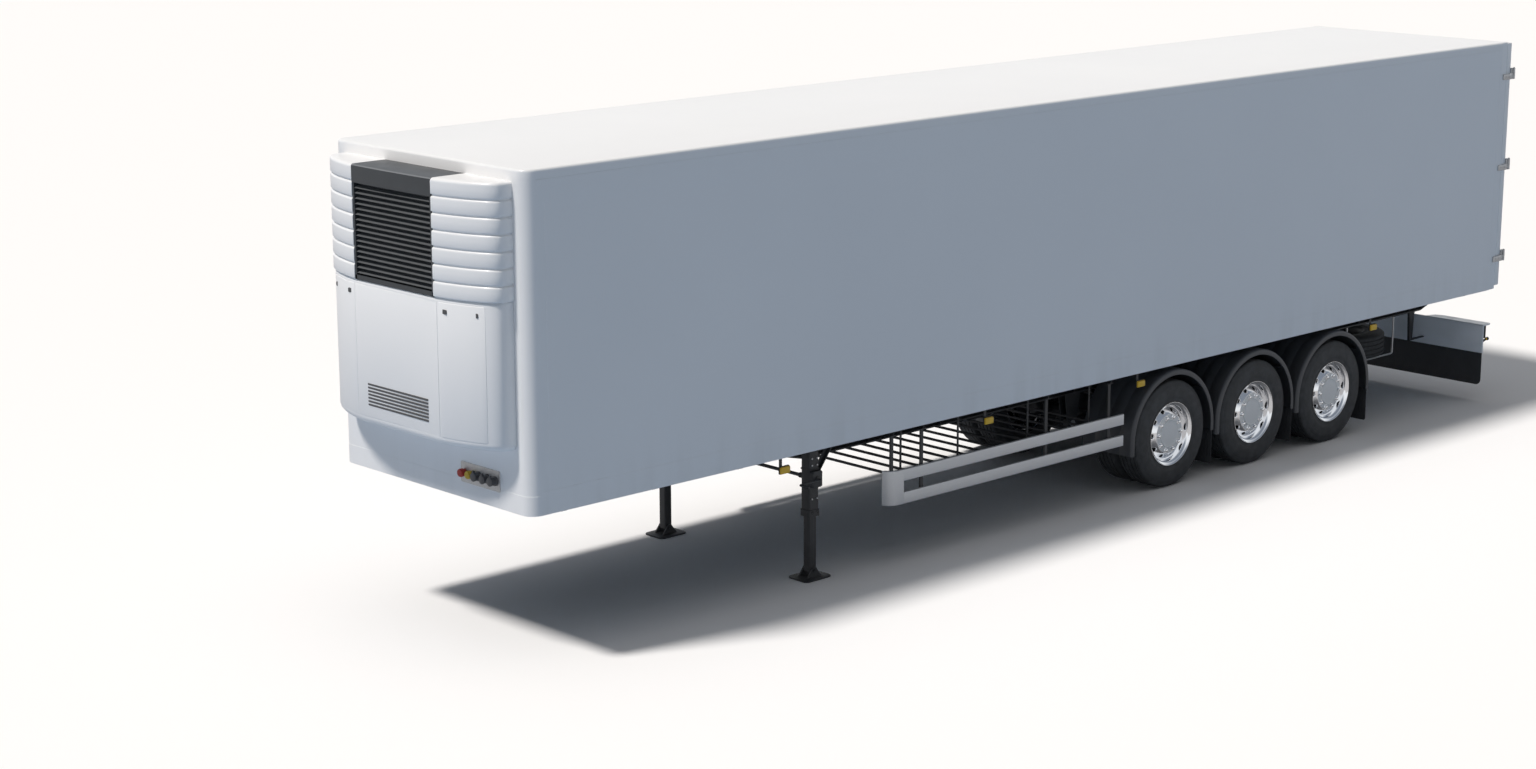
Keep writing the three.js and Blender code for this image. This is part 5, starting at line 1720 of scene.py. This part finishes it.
def buildPivotBolts(bm, hubX):
    x, z = hubX + under["pivot"], axleHeight + 0.108
    for low, high in bothSides(gearY, 0.047, 0.062):
        middle = (low + high) / 2
        addPin(bm, x, z, "y", low, high, 0.024)
        addPin(bm, x, z, "y", middle - 0.004, middle + 0.004, 0.033, 20)


for number, hubX in enumerate(axleXs, 1):
    ending = f"_{number}"
    single(f"axleTube{ending}", at(hubX, buildAxle), "frame", [f"axle{ending}"], smooth=35)
    piecePair("trailingArm", at(hubX, buildTrailingArm), "frame", ending=ending, bevel=0.004)
    piecePair("pivotBolts", at(hubX, buildPivotBolts), "zinc", ending=ending)
print("axles ready")


# Spare wheel and its carrier.
spareRim = bakeMesh("spare rim", buildRim, "frame", twin=False)
placed("sparePiercedRim", spareRim, faceDown, "trailer", ["spare_rim"])
carrier = {"half": 0.440, "y": 0.452, "rod": 0.0108, "low": spareLow - 0.0113, "high": 0.9395}


def buildCarrier(bm):
    low, high, y, rod = carrier["low"], carrier["high"], carrier["y"], carrier["rod"]
    rear, front = spareX - carrier["half"], spareX + carrier["half"]
    for across in (-y, y):
        path = [(rear, across, high), (rear, across, low), (front, across, low), (front, across, high)]
        addTube(bm, path, rod, 14, 0.03)
        for x in (rear, front):
            addPad(bm, x, across, 0.04, 0.03, 0.01, "z", high - 0.006, high)
    for x in (spareX - 0.150, spareX + 0.150):
        addPin(bm, x, low, "y", -y, y, rod, 14)


def buildCarrierClamp(bm):
    low, high, middle = carrier["low"], spareLow + 0.0170, (spareX, 0, 0)
    addPad(bm, spareX, 0, 0.150, 0.030, 0.008, "z", low - 0.008, low + 0.008)
    addTurned(bm, [(0.0, low), (0.060, low), (0.060, high), (0.0, high)], 32, middle, upright=True)
    nutRows = [(0.0, low - 0.010), (0.022, low - 0.010), (0.022, low - 0.002), (0.0, low - 0.002)]
    addTurned(bm, nutRows, 6, middle, upright=True)


single("spareCarrierRods", buildCarrier, "zinc", ["spare_carrier"])
single("spareClamp", buildCarrierClamp, "zinc", smooth=30)
print("spare wheel ready")


# Coupling plate.
kingpinBack = 1.350


def buildKingpin(bm):
    top, x = span("coupling_plate")[1].z, boxFront - kingpinBack
    rows = [(0.0, -0.094), (0.034, -0.094), (0.0358, -0.092), (0.0358, -0.074), (0.0256, -0.069)]
    rows += [(0.0256, -0.036), (0.0367, -0.031), (0.0367, -0.021), (0.0802, -0.0185), (0.0802, -0.0098)]
    addTurned(bm, [(r, top + along) for r, along in rows], 40, (x, 0, 0), upright=True)


single("kingpin", buildKingpin, "zinc")

# CAD nodes that keep their own shape.
carriedOver = {"floor": "lining", "wall_left": "panel", "wall_right": "panel", "coupling_plate": "frame"}
for node, look in carriedOver.items():
    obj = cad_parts[node]
    if not obj.material_slots:
        obj.data.materials.append(finishes[look])
    for materialSlot in obj.material_slots:
        materialSlot.material = finishes[look]


# Inside the load space.
floorLow, floorHigh = span("floor")
load = {"ribs": 40, "rise": 0.0045, "kick": 0.30, "thick": 0.004}
liningLow, liningHigh = floorHigh.z + 0.001, roofLow.z - 0.001


def buildFloorRibs(bm):
    z, half = floorHigh.z, floorHigh.y - 0.03
    low, high = z - 0.0003, z + load["rise"]
    rib = [(-half - 0.013, low), (-half - 0.012, high), (-half + 0.012, high), (-half + 0.013, low)]
    step, start, stop = 2 * half / (load["ribs"] - 1), floorLow.x + 0.002, floorHigh.x - 0.002
    addRow(bm, lambda seed: addExtrusion(seed, rib, "x", start, stop), "floorMetal", load["ribs"], (0, step, 0))


# The kick plate with its lip, and two rub rails higher up, as (thickness, low, high).
def buildKickPlate(bm):
    y, z, thick, kick = wallLow.y, floorHigh.z, load["thick"], load["kick"]
    strips = [(thick, 0.0005, kick), (thick + 0.004, kick - 0.012, kick + 0.006)]
    strips += [(0.0035, 0.95, 1.05), (0.0035, 1.75, 1.85)]
    for deep, low, high in strips:
        addBox(bm, (wallLow.x + 0.01, y - deep, z + low), (wallHigh.x - 0.05, y + 0.001, z + high))


def buildLining(bm):
    y = wallLow.y
    addBox(bm, (wallLow.x + 0.004, y - 0.0015, liningLow), (frontLow.x + 0.105, y + 0.0006, liningHigh))


def buildEndLining(bm):
    x, y = boxFront - box["wall"] - 0.0002, wallLow.y - 0.002
    addBox(bm, (x - 0.0015, -y, liningLow), (x, y, liningHigh))
    addBox(bm, (x - 0.006, -y, liningLow), (x, y, floorHigh.z + 0.40))
    addBox(bm, (wallLow.x + 0.004, -y, roofLow.z - 0.002), (x, y, roofLow.z + 0.0005))


single("floorRibs", buildFloorRibs, "floorMetal")
piecePair("kickPlates", buildKickPlate, "floorMetal")
piecePair("sideLining", buildLining, "lining")
single("endLining", buildEndLining, "lining")
print("load space ready")


# Cooling unit: service panels, vents and catches.
service = {
    "panels": ((-0.985, -0.548), (-0.540, 0.540), (0.548, 0.985)), "shift": 0.0095,
    "vents": 7, "ventHalf": 0.40, "ventUp": 0.165, "ventPitch": 0.028, "catchYs": (-0.905, -0.62, 0.62, 0.905),
}


def buildServicePanels(bm):
    for start, stop in service["panels"]:
        addPanel(bm, start, stop, unitLow + 0.070, louvreLow - 0.035, service["shift"], 0.006, 0.012)


def buildUnitVents(bm):
    half, low = service["ventHalf"], unitLow + service["ventUp"]
    slat = (-half, half, low, low + 0.016, 0.0065, 0.003, 0.008)
    addRow(bm, lambda seed: addPanel(seed, *slat), "plastic", service["vents"], (0, 0, service["ventPitch"]))


def buildCatches(bm):
    for y in service["catchYs"]:
        x = next(x for x, across in cowlPlan(service["shift"]) if across >= abs(y))
        addPad(bm, y, louvreLow - 0.105, 0.030, 0.018, 0.010, "x", x - 0.03, x + 0.0035)


single("servicePanels", buildServicePanels, "panel", smooth=30)
single("unitVents", buildUnitVents, "plastic")
single("unitCatches", buildCatches, "plastic", bevel=0.001)


# Connections low on the front wall.
couplings = {
    "x": boxFront + 0.005, "y": 0.62, "z": 1.45, "red": 0.42, "yellow": 0.515, "sockets": (0.60, 0.71, 0.81),
}


def buildConnectionPlate(bm):
    addPad(bm, couplings["y"], couplings["z"], 0.25, 0.085, 0.012, "x", boxFront - 0.001, boxFront + 0.006)


def couplingHead(color):
    def build(bm):
        x, y, z, r = couplings["x"], couplings[color], couplings["z"], 0.034
        rows = [(r * 0.8, x), (r * 0.8, x + 0.018), (r, x + 0.022), (r, x + 0.048)]
        addLathe(bm, rows + [(r * 0.86, x + 0.056), (r * 0.5, x + 0.057)], y, z, 24)
        addPad(bm, y, z, r * 1.15, 0.010, 0.004, "x", x + 0.026, x + 0.038)

    return build


def buildSockets(bm):
    x, z = couplings["x"], couplings["z"]
    rows = [(0.040, x), (0.040, x + 0.012), (0.033, x + 0.016), (0.033, x + 0.050), (0.036, x + 0.052)]
    rows += [(0.036, x + 0.060), (0.030, x + 0.064)]
    for y in couplings["sockets"]:
        addLathe(bm, rows, y, z, 28)
        addPlate(bm, y - 0.010, y + 0.010, z + 0.026, z + 0.050, 0.004, "x", x + 0.044, x + 0.062)


single("connectionPlate", buildConnectionPlate, "zinc", bevel=0.001)
single("redAirCoupling", couplingHead("red"), "redCoupling")
single("yellowAirCoupling", couplingHead("yellow"), "yellowCoupling")
single("powerSockets", buildSockets, "plastic")


# Stage, lights and camera. The floor's colours are for plain light, reflections and the camera.
stage = {
    "reach": 160.0, "plain": (0.27, 0.36, 0.49), "mirrored": (0.55, 0.55, 0.56), "seen": (0.96, 0.965, 0.97),
}


def makeStage():
    mesh = bpy.data.meshes.new("stage floor")
    reach = stage["reach"]
    corners = [(x * reach, y * reach, -0.001) for x, y in ((-1, -1), (1, -1), (1, 1), (-1, 1))]
    mesh.from_pydata(corners, [], [(0, 1, 2, 3)])
    floor = link("stageFloor", mesh)
    material = bpy.data.materials.new("stage floor")
    material.use_nodes = True
    graph = Graph(material.node_tree)
    seen = graph.mix(graph.rays("Is Glossy Ray"), stage["plain"], stage["mirrored"])
    seen = graph.mix(graph.rays("Is Camera Ray"), seen, stage["seen"])
    ground = graph.make("ShaderNodeBsdfDiffuse", None, {"Color": seen})
    graph.make("ShaderNodeOutputMaterial", None, {"Surface": ground})
    mesh.materials.append(material)


sky = {
    "zenith": (0.7, 0.7, 0.72), "low": (0.03, 0.03, 0.03), "rim": 0.3, "softness": 4,
    "horizon": (0.30, 0.40, 0.50), "ahead": (1.0, 1.03, 1.08),
    "mirrored": (0.92, 0.94, 0.96), "deep": (0.22, 0.25, 0.30),
}


# A soft light overhead in a low cool sky; what the camera sees behind the floor is white.
def makeSky():
    world = bpy.data.worlds.new("studio sky")
    bpy.context.scene.world = world
    world.use_nodes = True
    graph = Graph(world.node_tree)
    x, z = graph.axes(graph.texture("Generated"))[::2]
    overhead = graph.maths("POWER", graph.maths("MAXIMUM", z, 0.0), sky["softness"])
    color = graph.mix(graph.band(x, 0.2, 1.0), sky["horizon"], sky["ahead"])
    color = graph.mix(graph.band(z, 0.0, sky["rim"]), color, sky["low"])
    color = graph.mix(overhead, color, sky["zenith"])
    mirrored = graph.mix(graph.band(z, 0.15, 0.65), sky["mirrored"], sky["deep"])
    color = graph.mix(graph.rays("Is Glossy Ray"), color, mirrored)
    seen = graph.maths("MAXIMUM", graph.rays("Is Camera Ray"), graph.rays("Is Transmission Ray"))
    color = graph.mix(seen, color, (1.0, 1.0, 1.0))
    light = graph.make("ShaderNodeBackground", None, {"Color": color, "Strength": 1.0})
    graph.make("ShaderNodeOutputWorld", None, {"Surface": light})


sun = {"from": (0.48, -0.145, 0.865), "strength": 2.85, "spread": 8.0, "color": (1.0, 0.95, 0.90)}


def makeSun():
    data = bpy.data.lights.new("key", "SUN")
    data.energy = sun["strength"]
    data.angle = radians(sun["spread"])
    data.color = sun["color"]
    link("key", data).rotation_euler = Vector(sun["from"]).to_track_quat("Z", "Y").to_euler()


view = {
    "at": (19.5925, 17.552, 7.030), "heading": 226.557, "tilt": -12.876, "roll": -0.099,
    "lens": 64.945, "sensor": 36.0, "near": 0.5, "far": 500.0,
}


def makeCamera():
    data = bpy.data.cameras.new("camera")
    data.sensor_width = view["sensor"]
    data.lens = view["lens"]
    data.clip_start = view["near"]
    data.clip_end = view["far"]
    camera = link("camera", data)
    heading, tilt = radians(view["heading"]), radians(view["tilt"])
    towards = Vector((cos(tilt) * cos(heading), cos(tilt) * sin(heading), sin(tilt)))
    turn = towards.to_track_quat("-Z", "Y").to_matrix().to_4x4()
    camera.matrix_world = Matrix.Translation(view["at"]) @ turn @ Matrix.Rotation(radians(view["roll"]), 4, "Z")
    bpy.context.scene.camera = camera


makeStage()
makeSky()
makeSun()
makeCamera()
bpy.context.scene.view_settings.view_transform = "Standard"
print("stage ready")
